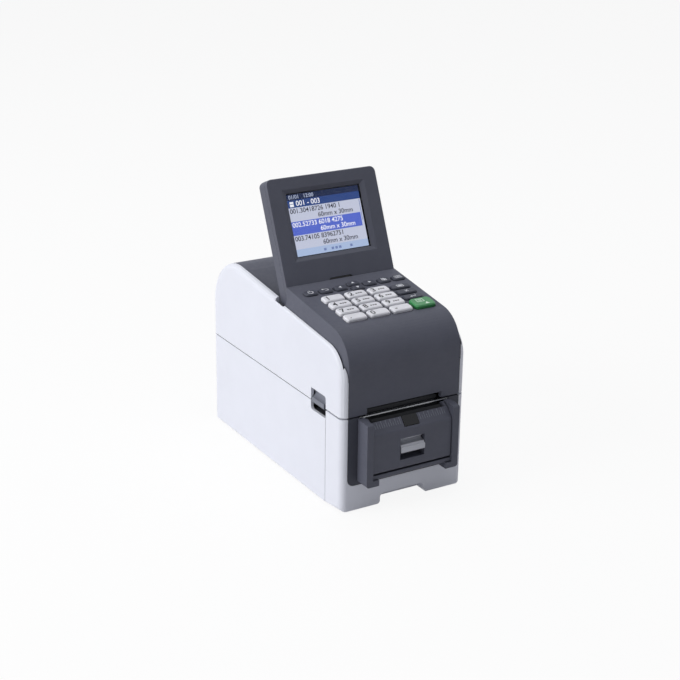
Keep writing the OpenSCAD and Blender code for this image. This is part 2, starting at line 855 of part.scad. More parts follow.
// Guide plate at rest on the widest label; side is -1 on the left
module roll_guide(side) {
    x0 = side < 0 ? -label_half_w - guide_t : label_half_w;
    foot_y = pinion_y + side * rack_r;
    bar_y = foot_y + side * (rack_root + rack_bar / 2);
    pitch = PI * rack_m;
    count = floor((label_half_w + guide_t - 1.5) / pitch - 0.5);
    tip = 0.92 * rack_m;
    difference() {
        union() {
            across(x0, x0 + guide_t)
                polygon(concat(
                    arc(roll_y, roll_z, tray_r - 0.6, 228, 312),
                    arc(roll_y, roll_z + 18, 14, 0, 180)
                ));
            // Rim on the side away from the roll
            across(side < 0 ? x0 - 2 : x0 + guide_t - eps, side < 0 ? x0 + eps : x0 + guide_t + 2)
                difference() {
                    polygon(concat(
                        arc(roll_y, roll_z, tray_r - 1.4, 229, 311),
                        arc(roll_y, roll_z + 18, 13.2, 0, 180)
                    ));
                    polygon(concat(
                        arc(roll_y, roll_z, tray_r - 3.6, 231, 309),
                        arc(roll_y, roll_z + 18, 11, 0, 180)
                    ));
                }
            // Leg through the tray's floor
            block(x0, x0 + guide_t, bar_y - rack_bar / 2, bar_y + rack_bar / 2, rack_z, roll_z - 36);
            // Bar of the rack
            block(side < 0 ? x0 : -rack_reach, side < 0 ? rack_reach : x0 + guide_t,
                bar_y - rack_bar / 2, bar_y + rack_bar / 2, rack_z, rack_z + rack_t);
            translate([0, foot_y, rack_z])
                linear_extrude(rack_t)
                    for (i = [-1:count])
                        translate([side * (i + 0.5) * pitch, 0])
                            polygon([
                                [-pitch * 0.41, side * (rack_root + eps)], [-pitch * 0.135, -side * tip],
                                [pitch * 0.135, -side * tip], [pitch * 0.41, side * (rack_root + eps)]
                            ]);
        }
        translate([0, roll_y, roll_z + 18])
            rotate([0, 90, 0])
                cylinder(h = big, r = 5, center = true);
    }
}

module roll_guide_left() {
    color("#4b4d55")
        roll_guide(-1);
}

module roll_guide_right() {
    color("#4b4d55")
        roll_guide(1);
}

module guide_pinion() {
    color("#ececea")
        translate([0, pinion_y, rack_z])
            linear_extrude(rack_t)
                difference() {
                    rotate(90)
                        polygon(gear_outline(rack_m, rack_teeth, 0.3));
                    circle(r = axle_r + bore_gap);
                }
}

// ---- peeler ----
module peeler_frame() {
    edge_r = 1.5;
    foot_w = 11;
    foot_r = 2.2;
    back = front_y - 0.2;
    color("#3f404a")
        difference() {
            union() {
                both_sides() {
                    across(column_half - column_w, column_half)
                        polygon(concat(
                            [[back, peeler_foot_z]],
                            [[back, peeler_top_z + 0.8]],
                            arc(peeler_y + edge_r, peeler_top_z - edge_r, edge_r, 93, 180),
                            [[peeler_y, peeler_foot_z]]
                        ));
                    block(column_half - foot_w, column_half - 1, peeler_y, back, peeler_foot_z, peeler_foot_z + 4.7);
                }
                across(-column_half + 2, column_half - 2)
                    polygon([
                        [door_y + 0.2, door_low - run_gap - 0.1], [door_y + 0.2, peeler_foot_z + 5.2],
                        [door_y + 1.2, peeler_foot_z + 4.4], [back, peeler_foot_z + 4.4],
                        [back, door_low - run_gap - 0.1]
                    ]);
                // Rear rails behind the door
                both_sides()
                    block(door_half - 4, column_half - 2, back - 2, back, door_low - 2, mouth_low - 2);
            }
            rod(-column_half + 2, column_half - 2, pivot_y, pivot_z, door_pin());
            // Rounded lower corners
            both_sides()
                difference() {
                    block(column_half - foot_r, column_half + 1, peeler_y - 1, back + 1,
                        peeler_foot_z - 1, peeler_foot_z + foot_r);
                    translate([column_half - foot_r, peeler_y - 2, peeler_foot_z + foot_r])
                        rotate([-90, 0, 0])
                            cylinder(h = peeler_d + 4, r = foot_r);
                }
        }
}

function door_pin() = 1.5 + bore_gap;

module door_outline(t) {
    slope = atan((door_top_z - door_break_z) / (door_top_y - door_y));
    polygon(concat(
        arc(pivot_y, pivot_z, door_r, 270, 180),
        [[door_y, door_break_z - 0.6], [door_y + 0.45, door_break_z + 0.4]],
        [[door_top_y - 0.4, door_top_z - 0.4], [door_top_y + 0.2, door_top_z - 0.2]],
        [[door_top_y + t * sin(slope), door_top_z - t * cos(slope)]],
        [[door_y + t + 0.5, door_break_z - t * 0.4], [door_y + t, door_break_z - t * 0.4 - 1.5]],
        [[door_y + t, pivot_z]]
    ));
}

module peeler_door() {
    pocket_y = door_y + grip_d;
    color("#3b3b45")
        difference() {
            union() {
                across(-door_half, door_half)
                    door_outline(door_t);
                rod(-door_half, door_half, pivot_y, pivot_z, door_r);
                rod(-door_half - 3, door_half + 3, pivot_y, pivot_z, door_pin() - bore_gap);
                // Cheeks that carry the peel roller
                both_sides()
                    across(door_half - cheek_t, door_half)
                        polygon(concat(
                            arc(pivot_y, pivot_z, door_r, 270, 180),
                            [[door_y, door_break_z - 0.6], [door_y + 0.45, door_break_z + 0.4],
                            [door_top_y - 0.4, door_top_z - 0.4]],
                            arc(roller_y, roller_z, roller_ear_r, 140, -60),
                            [[front_y - 2.6, roller_z - 9], [front_y - 2.6, pivot_z + 6]],
                            arc(pivot_y, pivot_z, door_r, 0, -90)
                        ));
                // Walls of the grip pocket
                block(-grip_half - grip_t, grip_half + grip_t, door_y + 0.5, pocket_y + grip_t - 1,
                    grip_low - grip_t, grip_high + grip_t);
                // Stiffening ribs
                for (x = [-26, -19, 19, 26])
                    block(x - 0.6, x + 0.6, door_y + 1, door_y + 6, pivot_z, door_break_z - 2);
                block(-door_half + 1, door_half - 1, door_y + 1, door_y + 5, pivot_z + 26.5, pivot_z + 27.7);
            }
            block(-grip_half, grip_half, door_y - 1, pocket_y - 1, grip_low, grip_high);
            rod(-grip_half - 1, grip_half + 1, lever_y, lever_z, lever_pin_r + bore_gap);
            rod(-door_half - 1, door_half + 1, roller_y, roller_z, roller_pin_r + bore_gap);
            // Seat of the label sensor
            label_sensor_body(part_gap);
        }
}

module label_sensor_body(grow) {
    slope = atan((door_top_z - door_break_z) / (door_top_y - door_y));
    length = 8.4;
    translate([0, door_top_y, door_top_z])
        rotate([slope, 0, 0])
            translate([-sensor_half - grow, -length - grow, -1.6 - grow])
                cube([2 * (sensor_half + grow), length + 2 * grow, 1.9 + 2 * grow]);
}

module label_sensor() {
    color("#101012")
        difference() {
            label_sensor_body(0);
            rod(-sensor_half - 1, sensor_half + 1, roller_y, roller_z, roller_r + run_gap);
        }
}

module peel_roller() {
    color("#1b1b1e") {
        rod(-roller_half, roller_half, roller_y, roller_z, roller_r);
        rod(-door_half + 0.4, door_half - 0.4, roller_y, roller_z, roller_pin_r);
    }
}

// Curved finger lever inside the door's pocket
module peeler_lever() {
    lip_y = peeler_y + 0.2;
    lip_z = lever_z - 9.2;
    color("#a3a5ae") {
        difference() {
            across(-lever_half, lever_half)
                polygon(concat(
                    [[lip_y + 0.6, lip_z]],
                    arc(lip_y + 0.6, lip_z + 0.6, 0.6, 270, 180),
                    arc(lip_y + 0.8, lip_z + 3.8, 0.8, 180, 60),
                    arc(lip_y + 2.6, lever_z + 1.4, 4.6, 262, 338),
                    [[lever_y - 0.6, lever_z + 1.5]],
                    arc(lever_y, lever_z, 1.7, 105, -80),
                    [[lever_y - 3.4, lip_z + 1]]
                ));
            block(-lever_half + 3, lever_half - 3, lip_y + 2, lever_y + 3, lip_z - 1, lip_z + 2.4);
        }
        rod(-grip_half - 0.9, grip_half + 0.9, lever_y, lever_z, lever_pin_r);
    }
}

// ---- cover ----
// Removes the corner that rolls about the hinge
module rolled_corner() {
    difference() {
        block(-big, big, hinge_y, big, -big, hinge_z);
        rod(-big - 1, big + 1, hinge_y, hinge_z, hinge_r);
    }
}

// Flanks and top of the keypad housing, grown sideways and outward for the panels' seat
module housing_flanks(grow) {
    hull() {
        across(-core_half - grow, core_half + grow)
            polygon(brow_outline(front_top_z, key_slope, brow_r, step_y, panel_front_z - 22, -grow, -grow));
        across(-flank_half - grow, flank_half + grow)
            polygon(brow_outline(panel_front_z, panel_slope, panel_brow_r, step_y, panel_front_z - 11,
                flank_set_back - grow, -grow));
    }
}

function edge_at(x, from, r) = x > from ? r - sqrt(max(0, r * r - (x - from) * (x - from))) : 0;

module side_panel() {
    front_x = [half_w, half_w - 0.25, half_w - 0.9, inner_half, half_w - 4, inset_half];
    rear_x = [half_w, half_w - 0.4, half_w - 1.4, half_w - 3, half_w - rim_rear];
    difference() {
        union() {
            hull()
                for (x = front_x)
                    across(x - 0.01, x)
                        polygon(brow_outline(panel_front_z, panel_slope, panel_brow_r, step_y, cover_z,
                            edge_at(x, inset_half, front_corner_r), edge_at(x, half_w - rim_front, rim_front)));
            hull()
                for (x = rear_x)
                    across(x - 0.01, x)
                        polygon(rear_outline(step_y, cover_z, edge_at(x, half_w - rim_rear, rim_rear)));
        }
        // Hollow behind the panel
        across(-1, inner_half)
            polygon(brow_outline(panel_front_z, panel_slope, panel_brow_r, step_y + eps, cover_z - 1, wall,
                -big / 10));
        across(-1, inner_half)
            polygon(rear_outline(step_y + wall, cover_z - 1, wall + 0.3));
        housing_flanks(part_gap);
        rolled_corner();
        latch_window();
        across(-1, half_w - 1)
            circle_at_display(trough_r + 0.2);
    }
    // Ribs on the inside
    for (y = [split_y + 40, roll_y - 8, roll_y + 30])
        block(inner_half - 2.2, inner_half + eps, y, y + 1.5, cover_z + 3, panel_front_z - 22);
}

module circle_at_display(r) {
    translate([display_y, display_z])
        circle(r = r);
}

module cover_side_left() {
    color("#eef0f6")
        mirror([1, 0, 0])
            side_panel();
}

module cover_side_right() {
    color("#eef0f6")
        side_panel();
}

// Space the display sweeps between its upright and its folded place
module display_sweep(r) {
    up = [sin(display_lean), cos(display_lean)];
    low = [cos(fold_angle), sin(fold_angle)];
    l = 40;
    circle_at_display(r);
    polygon([
        [display_y, display_z],
        [display_y - r * up[1], display_z + r * up[0]],
        [display_y - r * up[1] + l * up[0], display_z + r * up[0] + l * up[1]],
        [display_y + l, display_z + l],
        [display_y + r * low[1] + l * low[0], display_z - r * low[0] + l * low[1]],
        [display_y + r * low[1], display_z - r * low[0]]
    ]);
}

// All key places: x, u, width, depth, corner radius, rise
function key_spots() = concat(
    [for (r = [0:2], c = [0:2])
        [number_x + c * number_pitch_x, number_u - r * number_pitch_u, number_key_w, number_key_d, 2, key_rise]],
    [for (c = [0:2])
        [number_x + c * number_pitch_x, number_u - 3 * number_pitch_u, number_key_w, number_key_d, 2, key_rise]],
    [for (i = [0, 1, 2, 4, 5, 6])
        [menu_x + i * menu_pitch, menu_u, menu_key_w, menu_key_d, 2.4, low_key_rise]],
    [for (u = arrow_u)
        [menu_x + 3 * menu_pitch, u, menu_key_w, arrow_key_d, 2.2, low_key_rise]],
    [for (i = [0:2])
        [side_x, side_u - i * side_pitch, side_key_w, side_key_d, 2, low_key_rise]],
    [[side_x, print_u, print_key_w, print_key_d, 2.6, key_rise + 0.4]]
);

module key_cap(i) {
    k = key_spots()[i];
    edge = 0.9;
    on_keypad(k[0], k[1]) {
        translate([0, 0, -key_wall - 0.3 - lip_t])
            linear_extrude(lip_t)
                round_rect(k[2] + lip_extra, k[3] + lip_extra, k[4]);
        translate([0, 0, -key_wall - 0.4])
            linear_extrude(key_wall + 0.5)
                round_rect(k[2], k[3], k[4]);
        linear_extrude(k[5] - edge)
            round_rect(k[2], k[3], k[4]);
        hull() {
            translate([0, 0, k[5] - edge - 0.02])
                linear_extrude(0.02)
                    round_rect(k[2], k[3], k[4], 20);
            translate([0, 0, k[5] - 0.01])
                linear_extrude(0.01)
                    round_rect(k[2] - 1.4 * edge, k[3] - 1.4 * edge, k[4], 20);
        }
    }
}

module keypad_housing() {
    slot_w = lug_w + 2 * run_gap;
    color("#41424d")
        difference() {
            union() {
                difference() {
                    union() {
                        across(-core_half, core_half)
                            polygon(brow_outline(front_top_z, key_slope, brow_r, step_y, cover_z, 0, 0));
                        housing_flanks(0);
                    }
                    // Hollow inside, leaving the wall around the display's trough
                    difference() {
                        across(-core_inner, core_inner)
                            polygon(brow_outline(front_top_z, key_slope, brow_r, step_y + 1, cover_z - 1,
                                wall, wall));
                        across(-big, big)
                            display_sweep(trough_r + trough_t);
                    }
                    // Undercut of the flanks
                    both_sides()
                        across(core_half, big)
                            polygon(brow_outline(panel_front_z, panel_slope, panel_brow_r, step_y + 1,
                                cover_z - 1, flank_t, flank_t));
                }
                // Bosses of the release shaft
                both_sides()
                    rod(core_inner - 1.6, core_inner + eps, release_y, release_z, release_boss_r);
                // Ribs between the key rows
                for (u = [rib_u, print_u - print_key_d / 2 - 3.1])
                    on_keypad(0, u)
                        block(-core_inner + 1, core_inner - 1, -0.6, 0.6, -key_wall - 1.4, -key_wall + eps);
            }
            across(-big, big)
                display_sweep(trough_r);
            for (k = key_spots())
                on_keypad(k[0], k[1]) {
                    translate([0, 0, -key_wall - 2])
                        linear_extrude(key_wall + 4)
                            round_rect(k[2] + 2 * key_gap, k[3] + 2 * key_gap, k[4] + key_gap);
                    // Room of the lip under the wall
                    translate([0, 0, -key_wall - lip_room])
                        linear_extrude(lip_room)
                            round_rect(k[2] + lip_extra + 0.6, k[3] + lip_extra + 0.6, k[4]);
                }
            // Label outlet
            block(-outlet_w / 2, outlet_w / 2, front_y - 1, front_y + wall + 1, cover_z - 1, seam_z + outlet_h);
            frontal(front_y - 0.01, front_y + 0.9)
                polygon([[-outlet_w / 2 - 0.8, cover_z - 1], [outlet_w / 2 + 0.8, cover_z - 1],
                    [outlet_w / 2 + 0.8, seam_z + outlet_h + 0.7], [-outlet_w / 2 - 0.8, seam_z + outlet_h + 0.7]]);
            // Passages of the display's hinge lugs
            both_sides()
                block(lug_x - run_gap, lug_x - run_gap + slot_w, display_y - lug_neck - run_gap,
                    display_y + lug_neck + run_gap, display_z - 20, display_z);
            rod(-big, big, release_y, release_z, release_r + bore_gap);
        }
}

module rear_cover() {
    half = half_w - rim_rear - part_gap;
    bed = [[step_y - 5, bed_z(step_y - 5)], [rear_y, bed_z(rear_y)], [rear_y, big], [step_y - 5, big]];
    low_bed = [for (p = bed) [p[0], p[1] - (p[1] < big ? wall / cos(fold_angle) : 0)]];
    start = step_y + part_gap;
    square_end = rear_outline(start, cover_z, 0);
    rolled_end = concat([for (i = [0:len(square_end) - 2]) square_end[i]],
        arc(hinge_y, hinge_z, hinge_r, 0, -90));
    color("#41424d")
        difference() {
            union() {
                difference() {
                    across(-half, half)
                        polygon(rolled_end);
                    difference() {
                        across(-half + wall, half - wall)
                            polygon(rear_outline(start - 1, cover_z - 1, wall));
                        across(-big, big)
                            polygon(low_bed);
                    }
                }
                // Knuckles of the cover's hinge
                both_sides()
                    for (x = [ear_x - knuckle_w - run_gap, ear_x + ear_w + run_gap]) {
                        rod(x, x + knuckle_w, hinge_y, hinge_z, ear_r);
                        block(x, x + knuckle_w, hinge_y - 1.5, rear_y - wall + eps, hinge_z, hinge_z + 8);
                    }
                // Ribs across the lid
                for (x = [-24, 0, 24])
                    difference() {
                        across(x - 0.8, x + 0.8)
                            polygon(rear_outline(roll_y + 22, roll_z + 30, wall / 2));
                        across(x - 2, x + 2)
                            polygon(rear_outline(roll_y + 21, roll_z + 29, wall + 3));
                    }
            }
            across(-big, big)
                polygon(bed);
            both_sides() {
                block(ear_x - run_gap, ear_x + ear_w + run_gap, hinge_y - 6, big, 0, hinge_z + ear_r + 1);
                rod(ear_x - 5, ear_x + ear_w + 5, hinge_y, hinge_z, hinge_pin_r + bore_gap);
            }
        }
}

// Inner frame of the cover: lining over the label path, key tray, display lugs and latch bearings
module cover_frame() {
    half = core_inner - part_gap;
    sheet = 2;
    lining_r = tray_r + 1.5;
    lining_z = roll_z + 4.7;
    step = head_y + head_d + 2.6;
    tray_w = mat_depth + mat_t + 0.1;
    frame_front = front_y + wall + 0.6;
    lug_foot_z = display_z - trough_r - trough_t - part_gap;
    cheek_hole_r = 7;
    color("#33343b")
        difference() {
            union() {
                difference() {
                    union() {
                        across(-half, half)
                            polygon(concat(
                                arc(roll_y, roll_z, lining_r, 123, 175.9),
                                [[step, lining_z], [step, head_top + 0.2], [frame_front, head_top + 0.2],
                                [frame_front, head_top + 0.2 + sheet], [step + sheet, head_top + 0.2 + sheet],
                                [step + sheet, lining_z + sheet]],
                                arc(roll_y, roll_z, lining_r + sheet, 174.3, 123)
                            ));
                        // Cheeks
                        both_sides()
                            across(half - 2, half)
                                polygon(concat(
                                    [[frame_front + 3, head_top + 1], [frame_front + 3, head_top + 24]],
                                    [key_point(14.5, -tray_w - 1), key_point(84, -tray_w - 1)],
                                    arc(roll_y, roll_z, lining_r + 1, 125, 175),
                                    [[step + 1, lining_z + 1], [step + 1, head_top + 1]]
                                ));
                        // Tray under the key mat
                        on_keypad(0, 0)
                            block(-half, half, 13.5, 85, -tray_w - 2, -tray_w);
                        // Cross ribs
                        for (x = [-22, 0, 22])
                            across(x - 0.8, x + 0.8)
                                polygon(concat(
                                    [[step + 4, lining_z + 1], [step + 4, head_top + 14]],
                                    [key_point(40, -tray_w - 14), key_point(70, -tray_w - 10)],
                                    arc(roll_y, roll_z, lining_r + 1, 135, 175)
                                ));
                    }
                    across(-big, big)
                        display_sweep(trough_r + trough_t + part_gap);
                }
                // Lugs of the display's hinge, on feet that spread over the lining
                both_sides() {
                    rod(lug_x, lug_x + lug_w, display_y, display_z, lug_r);
                    rod(lug_x - 2.8, lug_x + lug_w + 2.8, display_y, display_z, lug_pin_r);
                    across(lug_x, lug_x + lug_w)
                        polygon(concat(
                            [[display_y - lug_neck, display_z], [display_y + lug_neck, display_z]],
                            [[display_y + lug_neck, lug_foot_z]],
                            arc(roll_y, roll_z, lining_r + 1, 123.2, 135),
                            [[display_y - lug_neck, lug_foot_z - 1]]
                        ));
                }
            }
            // Passages of the release shaft and its hooks
            rod(-big, big, release_y, release_z, release_r + run_gap);
            both_sides()
                rod(half - 3, big, release_y, release_z, release_boss_r + part_gap);
            both_sides()
                block(hook_x - 0.5, hook_x + hook_w + 0.5, release_y - 10, release_y + 7, cover_z, lining_z + sheet + 1);
            // Holes that lighten the cheeks
            both_sides()
                for (p = [[step + 16, lining_z + 29], [roll_y - lining_r + 4.5, lining_z + 35]])
                    rod(half - 3, half + 1, p[0], p[1], cheek_hole_r);
        }
}

// Thermal print head with its finned heat sink
module print_head() {
    y1 = head_y + head_d;
    color("#d9d6cc")
        block(-platen_half, platen_half, head_y, y1, head_low, head_low + 1.2);
    color("#a9acb1") {
        block(-platen_half, platen_half, head_y, y1, head_low + 1.1, head_low + 4);
        for (i = [0:4])
            block(-platen_half + 3, platen_half - 3, head_y + 0.8 + i * 4, head_y + 2.4 + i * 4,
                head_low + 3.9, head_top);
    }
}

module tear_bar() {
    z0 = deck_top + 1.2;
    color("#b9bcc2")
        across(-mouth_half - 3.6, mouth_half + 3.6)
            polygon([
                [front_y + 0.6, z0], [front_y + 0.6, z0 + 0.9], [front_y + 1.4, z0 + 0.9],
                [front_y + 2.2, z0 + 0.8], [front_y + 4.2, z0 + 0.8], [front_y + 4.2, z0]
            ]);
}

// Shaft with a finger tab on each side of the cover and a hook inside each side
module release_bar() {
    plate_x = core_half + release_play;
    plate_t = 1.4;
    tab_x = half_w - 0.4;
    y0 = window_y0 + 3.4;
    y1 = window_y1 - 0.6;
    low = seam_z - 1.7;
    hook_low = deck_top - 3.8;
    color("#2b2c32") {
        rod(-plate_x - plate_t, plate_x + plate_t, release_y, release_z, release_r);
        both_sides() {
            // Tab with a hollow for the finger
            translate([0, y1, 0])
                rotate([90, 0, 0])
                    linear_extrude(y1 - y0)
                        polygon(concat(
                            [[plate_x, low], [tab_x - 0.5, low], [tab_x, low + 0.5], [tab_x, low + 3]],
                            arc(tab_x + 0.4, low + 8.2, 4, 262, 180),
                            [[plate_x + plate_t, low + 10.4], [plate_x, low + 10.4]]
                        ));
            across(plate_x, plate_x + plate_t)
                polygon(concat(
                    [[y0, low + 4], [y0, low + 10.4]],
                    arc(release_y, release_z, release_r + 1.6, 110, -70),
                    [[y1 - 2, low + 4]]
                ));
            across(hook_x, hook_x + hook_w)
                polygon(concat(
                    arc(release_y, release_z, release_r + 1.4, 0, 180),
                    [[release_y - 2.4, hook_low + 4], [release_y - 1.4, hook_low], [release_y + 3.4, hook_low],
                    [release_y + 4.6, hook_low + 1.6], [release_y + 4.4, hook_low + 3],
                    [release_y + 1.6, hook_low + 4]]
                ));
        }
    }
}

module key_mat() {
    color("#c7c9cf") {
        on_keypad(0, 0)
            block(-core_inner + 1.2, core_inner - 1.2, 16, 84.5, -mat_depth - mat_t, -mat_depth);
        for (k = key_spots())
            on_keypad(k[0], k[1])
                translate([0, 0, -mat_depth - eps])
                    cylinder(h = dome_h, r = min(k[3] / 2, 3.4));
    }
}

// ---- display ----
module display_body() {
    top_r = 2.2;
    corner_r = 5;
    intersection() {
        across(-display_w / 2, display_w / 2)
            polygon(concat(
                arc(0, 0, barrel_r, 180, 360),
                arc(barrel_r - top_r, display_h - top_r, top_r, 0, 90),
                arc(-barrel_r + 1, display_h - 1, 1, 90, 180)
            ));
        frontal(-barrel_r - 1, barrel_r + 1)
            polygon(concat(
                arc(display_w / 2 - corner_r, display_h - corner_r, corner_r, 0, 90),
                arc(-display_w / 2 + corner_r, display_h - corner_r, corner_r, 90, 180),
                [[-display_w / 2, -barrel_r - 1], [display_w / 2, -barrel_r - 1]]
            ));
    }
}

// Space around the lugs that carry the display
module lug_space() {
    both_sides() {
        rod(lug_x - run_gap, lug_x + lug_w + run_gap, 0, 0, lug_r + run_gap + 0.1);
        block(lug_x - run_gap, lug_x + lug_w + run_gap, -barrel_r - 1, barrel_r + 1, -barrel_r - 1, 0);
        block(lug_x - run_gap, lug_x + lug_w + run_gap, 0, barrel_r + 1, -1, 4);
        rod(lug_x - 3.2, lug_x + lug_w + 3.2, 0, 0, lug_pin_r + bore_gap);
    }
}

module display_bezel() {
    split = -barrel_r + bezel_t;
    opening_w = screen_w / 2 + bezel_slope;
    scoop_half = 11.5;
    color("#46464f")
        on_display()
            difference() {
                display_body();
                block(-big, big, split - 0.1, big, -big, big);
                // Sloping recess around the picture
                intersection() {
                    translate([0, 0, screen_low])
                        rotate([90, 0, 90])
                            translate([0, 0, -big / 2])
                                linear_extrude(big)
                                    polygon([
                                        [-barrel_r - 0.01, -bezel_slope + 1], [-barrel_r + screen_sink, 0],
                                        [-barrel_r + screen_sink, screen_h],
                                        [-barrel_r - 0.01, screen_h + bezel_slope - 1]
                                    ]);
                    translate([0, 0, screen_low - 20])
                        linear_extrude(screen_h + 40)
                            polygon([
                                [-opening_w, -barrel_r - 0.01], [opening_w, -barrel_r - 0.01],
                                [screen_w / 2, -barrel_r + screen_sink], [-screen_w / 2, -barrel_r + screen_sink]
                            ]);
                }
                block(-screen_w / 2, screen_w / 2, -barrel_r - 1, barrel_r, screen_low, screen_low + screen_h);
                block(-screen_w / 2 - 1.6, screen_w / 2 + 1.6, -barrel_r + screen_sink, barrel_r,
                    screen_low - 1.6, screen_low + screen_h + 1.6);
                // Scoop for the finger at the foot
                frontal(-barrel_r - 1, -barrel_r + 1.6)
                    polygon(concat(
                        [[-scoop_half, 0], [scoop_half, 0]],
                        arc(scoop_half - 3, 7, 2.5, 0, 90),
                        arc(-scoop_half + 3, 7, 2.5, 90, 180)
                    ));
                lug_space();
            }
}

module display_window() {
    color("#22242c")
        on_display()
            block(-screen_w / 2 - 1.4, screen_w / 2 + 1.4, -barrel_r + screen_sink + 0.05,
                -barrel_r + bezel_t - 0.35, screen_low - 1.4, screen_low + screen_h + 1.4);
}

module lcd_module() {
    color("#8f9298")
        on_display() {
            block(-screen_w / 2 - 4, screen_w / 2 + 4, -barrel_r + bezel_t - 0.1, -barrel_r + bezel_t + 3.2,
                screen_low - 4, screen_low + screen_h + 3);
            block(-30, 12, -barrel_r + bezel_t + 3.1, -barrel_r + bezel_t + 4.4, screen_low + 2, screen_low + 30);
        }
}

module display_back() {
    split = -barrel_r + bezel_t;
    shell_t = 2;
    color("#40414b")
        on_display()
            difference() {
                display_body();
                block(-big, big, -big, split + 0.1, -big, big);
                // Room of the picture module
                block(-display_w / 2 + shell_t, display_w / 2 - shell_t, -big, barrel_r - shell_t,
                    barrel_r + 5, display_h - shell_t);
                lug_space();
                // Shallow panel and screw seats on the back
                frontal(barrel_r - 0.5, barrel_r + 1)
                    polygon([[-34, 16], [34, 16], [34, 78], [-34, 78]]);
                both_sides()
                    for (z = [12, display_h - 8])
                        translate([display_w / 2 - 8, barrel_r + 1, z])
                            rotate([90, 0, 0])
                                cylinder(h = 2.2, r = 2.4);
            }
}

// ---- keys ----
module number_key(i) {
    color("#f2f2f5")
        key_cap(i);
}

module dark_key(i) {
    color("#4b4d5a")
        key_cap(i);
}

module key_1() { number_key(0); }
module key_2() { number_key(1); }
module key_3() { number_key(2); }
module key_4() { number_key(3); }
module key_5() { number_key(4); }
module key_6() { number_key(5); }
module key_7() { number_key(6); }
module key_8() { number_key(7); }
module key_9() { number_key(8); }
module key_point() { number_key(9); }
module key_0() { number_key(10); }
module key_dash() { number_key(11); }
module key_power() { dark_key(12); }
module key_back() { dark_key(13); }
module key_left() { dark_key(14); }
module key_right() { dark_key(15); }
module key_copy() { dark_key(16); }
module key_menu() { dark_key(17); }
module key_up() { dark_key(18); }
module key_down() { dark_key(19); }
module key_mode() { dark_key(20); }
module key_clear() { dark_key(21); }
module key_enter() { dark_key(22); }

module key_print() {
    color("#4b9a63")
        key_cap(23);
}

// ---- shown parts ----
base_shell();
bottom_plate();
front_cover();
front_inset();
rubber_feet();
roll_tray();
power_inlet();
data_sockets();
main_board();
feed_motor();
motor_pinion();
idler_gear();
platen_roller();
platen_gear();
cover_hinge_pin();
roll_guide_left();
roll_guide_right();
guide_pinion();
peeler_frame();
peeler_door();
peel_roller();
peeler_lever();
label_sensor();
cover_side_left();
cover_side_right();
keypad_housing();
rear_cover();
cover_frame();
print_head();
tear_bar();
release_bar();
key_mat();
display_bezel();
display_back();
lcd_module();
display_window();
key_power();
key_back();
key_left();
key_up();
key_down();
key_right();
key_copy();
key_menu();
key_mode();
key_clear();
key_enter();
key_print();
key_1();
key_2();
key_3();
key_4();
key_5();
key_6();
key_7();
key_8();
key_9();
key_point();
key_0();
key_dash();
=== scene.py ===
"""Looks of a desktop label printer: materials, printed signs, small fittings, light and camera.

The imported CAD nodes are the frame. Signs and fittings take their places from the nodes' own
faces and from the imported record. Sizes are in millimetres unless they say otherwise; the scene
itself is in metres.
"""

import json
import math

import bmesh
import bpy
from mathutils import Matrix, Vector


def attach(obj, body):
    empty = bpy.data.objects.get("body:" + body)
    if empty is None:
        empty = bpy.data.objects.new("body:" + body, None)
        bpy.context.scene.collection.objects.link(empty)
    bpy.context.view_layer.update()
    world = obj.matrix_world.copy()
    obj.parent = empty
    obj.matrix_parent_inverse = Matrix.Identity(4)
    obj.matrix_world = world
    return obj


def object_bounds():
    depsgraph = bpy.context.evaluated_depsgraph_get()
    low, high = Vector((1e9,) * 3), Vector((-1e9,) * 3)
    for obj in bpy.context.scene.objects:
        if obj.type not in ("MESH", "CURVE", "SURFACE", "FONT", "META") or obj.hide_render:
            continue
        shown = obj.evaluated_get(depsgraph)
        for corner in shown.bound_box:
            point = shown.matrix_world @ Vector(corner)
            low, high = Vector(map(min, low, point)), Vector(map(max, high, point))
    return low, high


MM = 0.001

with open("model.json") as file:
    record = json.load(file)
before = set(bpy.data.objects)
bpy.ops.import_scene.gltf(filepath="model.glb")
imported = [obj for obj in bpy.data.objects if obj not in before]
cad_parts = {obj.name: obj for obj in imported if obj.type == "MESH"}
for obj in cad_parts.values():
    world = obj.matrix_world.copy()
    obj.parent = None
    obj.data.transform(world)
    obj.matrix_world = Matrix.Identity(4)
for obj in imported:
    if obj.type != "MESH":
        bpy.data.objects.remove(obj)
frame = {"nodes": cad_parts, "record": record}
nodes = frame["nodes"]
cad_low, cad_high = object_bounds()

body_of = {
    node: body
    for body, members in frame["record"]["behaviour"]["bodies"].items()
    for node in members
}


# ---- faces of the frame ----

# Turns of the sloping faces about x, in degrees
KEYPAD_SLOPE = 7.9
DISPLAY_LEAN = 23.3
DOOR_SLOPE = 48.1


def axes(up, out, turn=0.0):
    """3x3 whose columns run across a face, up it and out of it, once it is turned about x."""
    tilt = Matrix.Rotation(math.radians(turn), 3, "X")
    up, out = tilt @ Vector(up), tilt @ Vector(out)
    return Matrix((up.cross(out), up, out)).transposed()


KEYPAD = axes((0, 1, 0), (0, 0, 1), KEYPAD_SLOPE)
DISPLAY_FRONT = axes((0, 0, 1), (0, -1, 0), -DISPLAY_LEAN)
DISPLAY_REAR = axes((0, 0, 1), (0, 1, 0), -DISPLAY_LEAN)
DOOR_TOP = axes((0, 1, 0), (0, 0, 1), DOOR_SLOPE)
UNDERSIDE = axes((0, 1, 0), (0, 0, -1))
REAR = axes((0, 0, 1), (0, 1, 0))


def corners(node, face):
    """A CAD node's corners along a face's axes, in millimetres."""
    return [face.transposed() @ vertex.co / MM for vertex in nodes[node].data.vertices]


def box_round(points):
    """Lowest and highest corner of the box round some points."""
    columns = list(zip(*points))
    return Vector(map(min, columns)), Vector(map(max, columns))


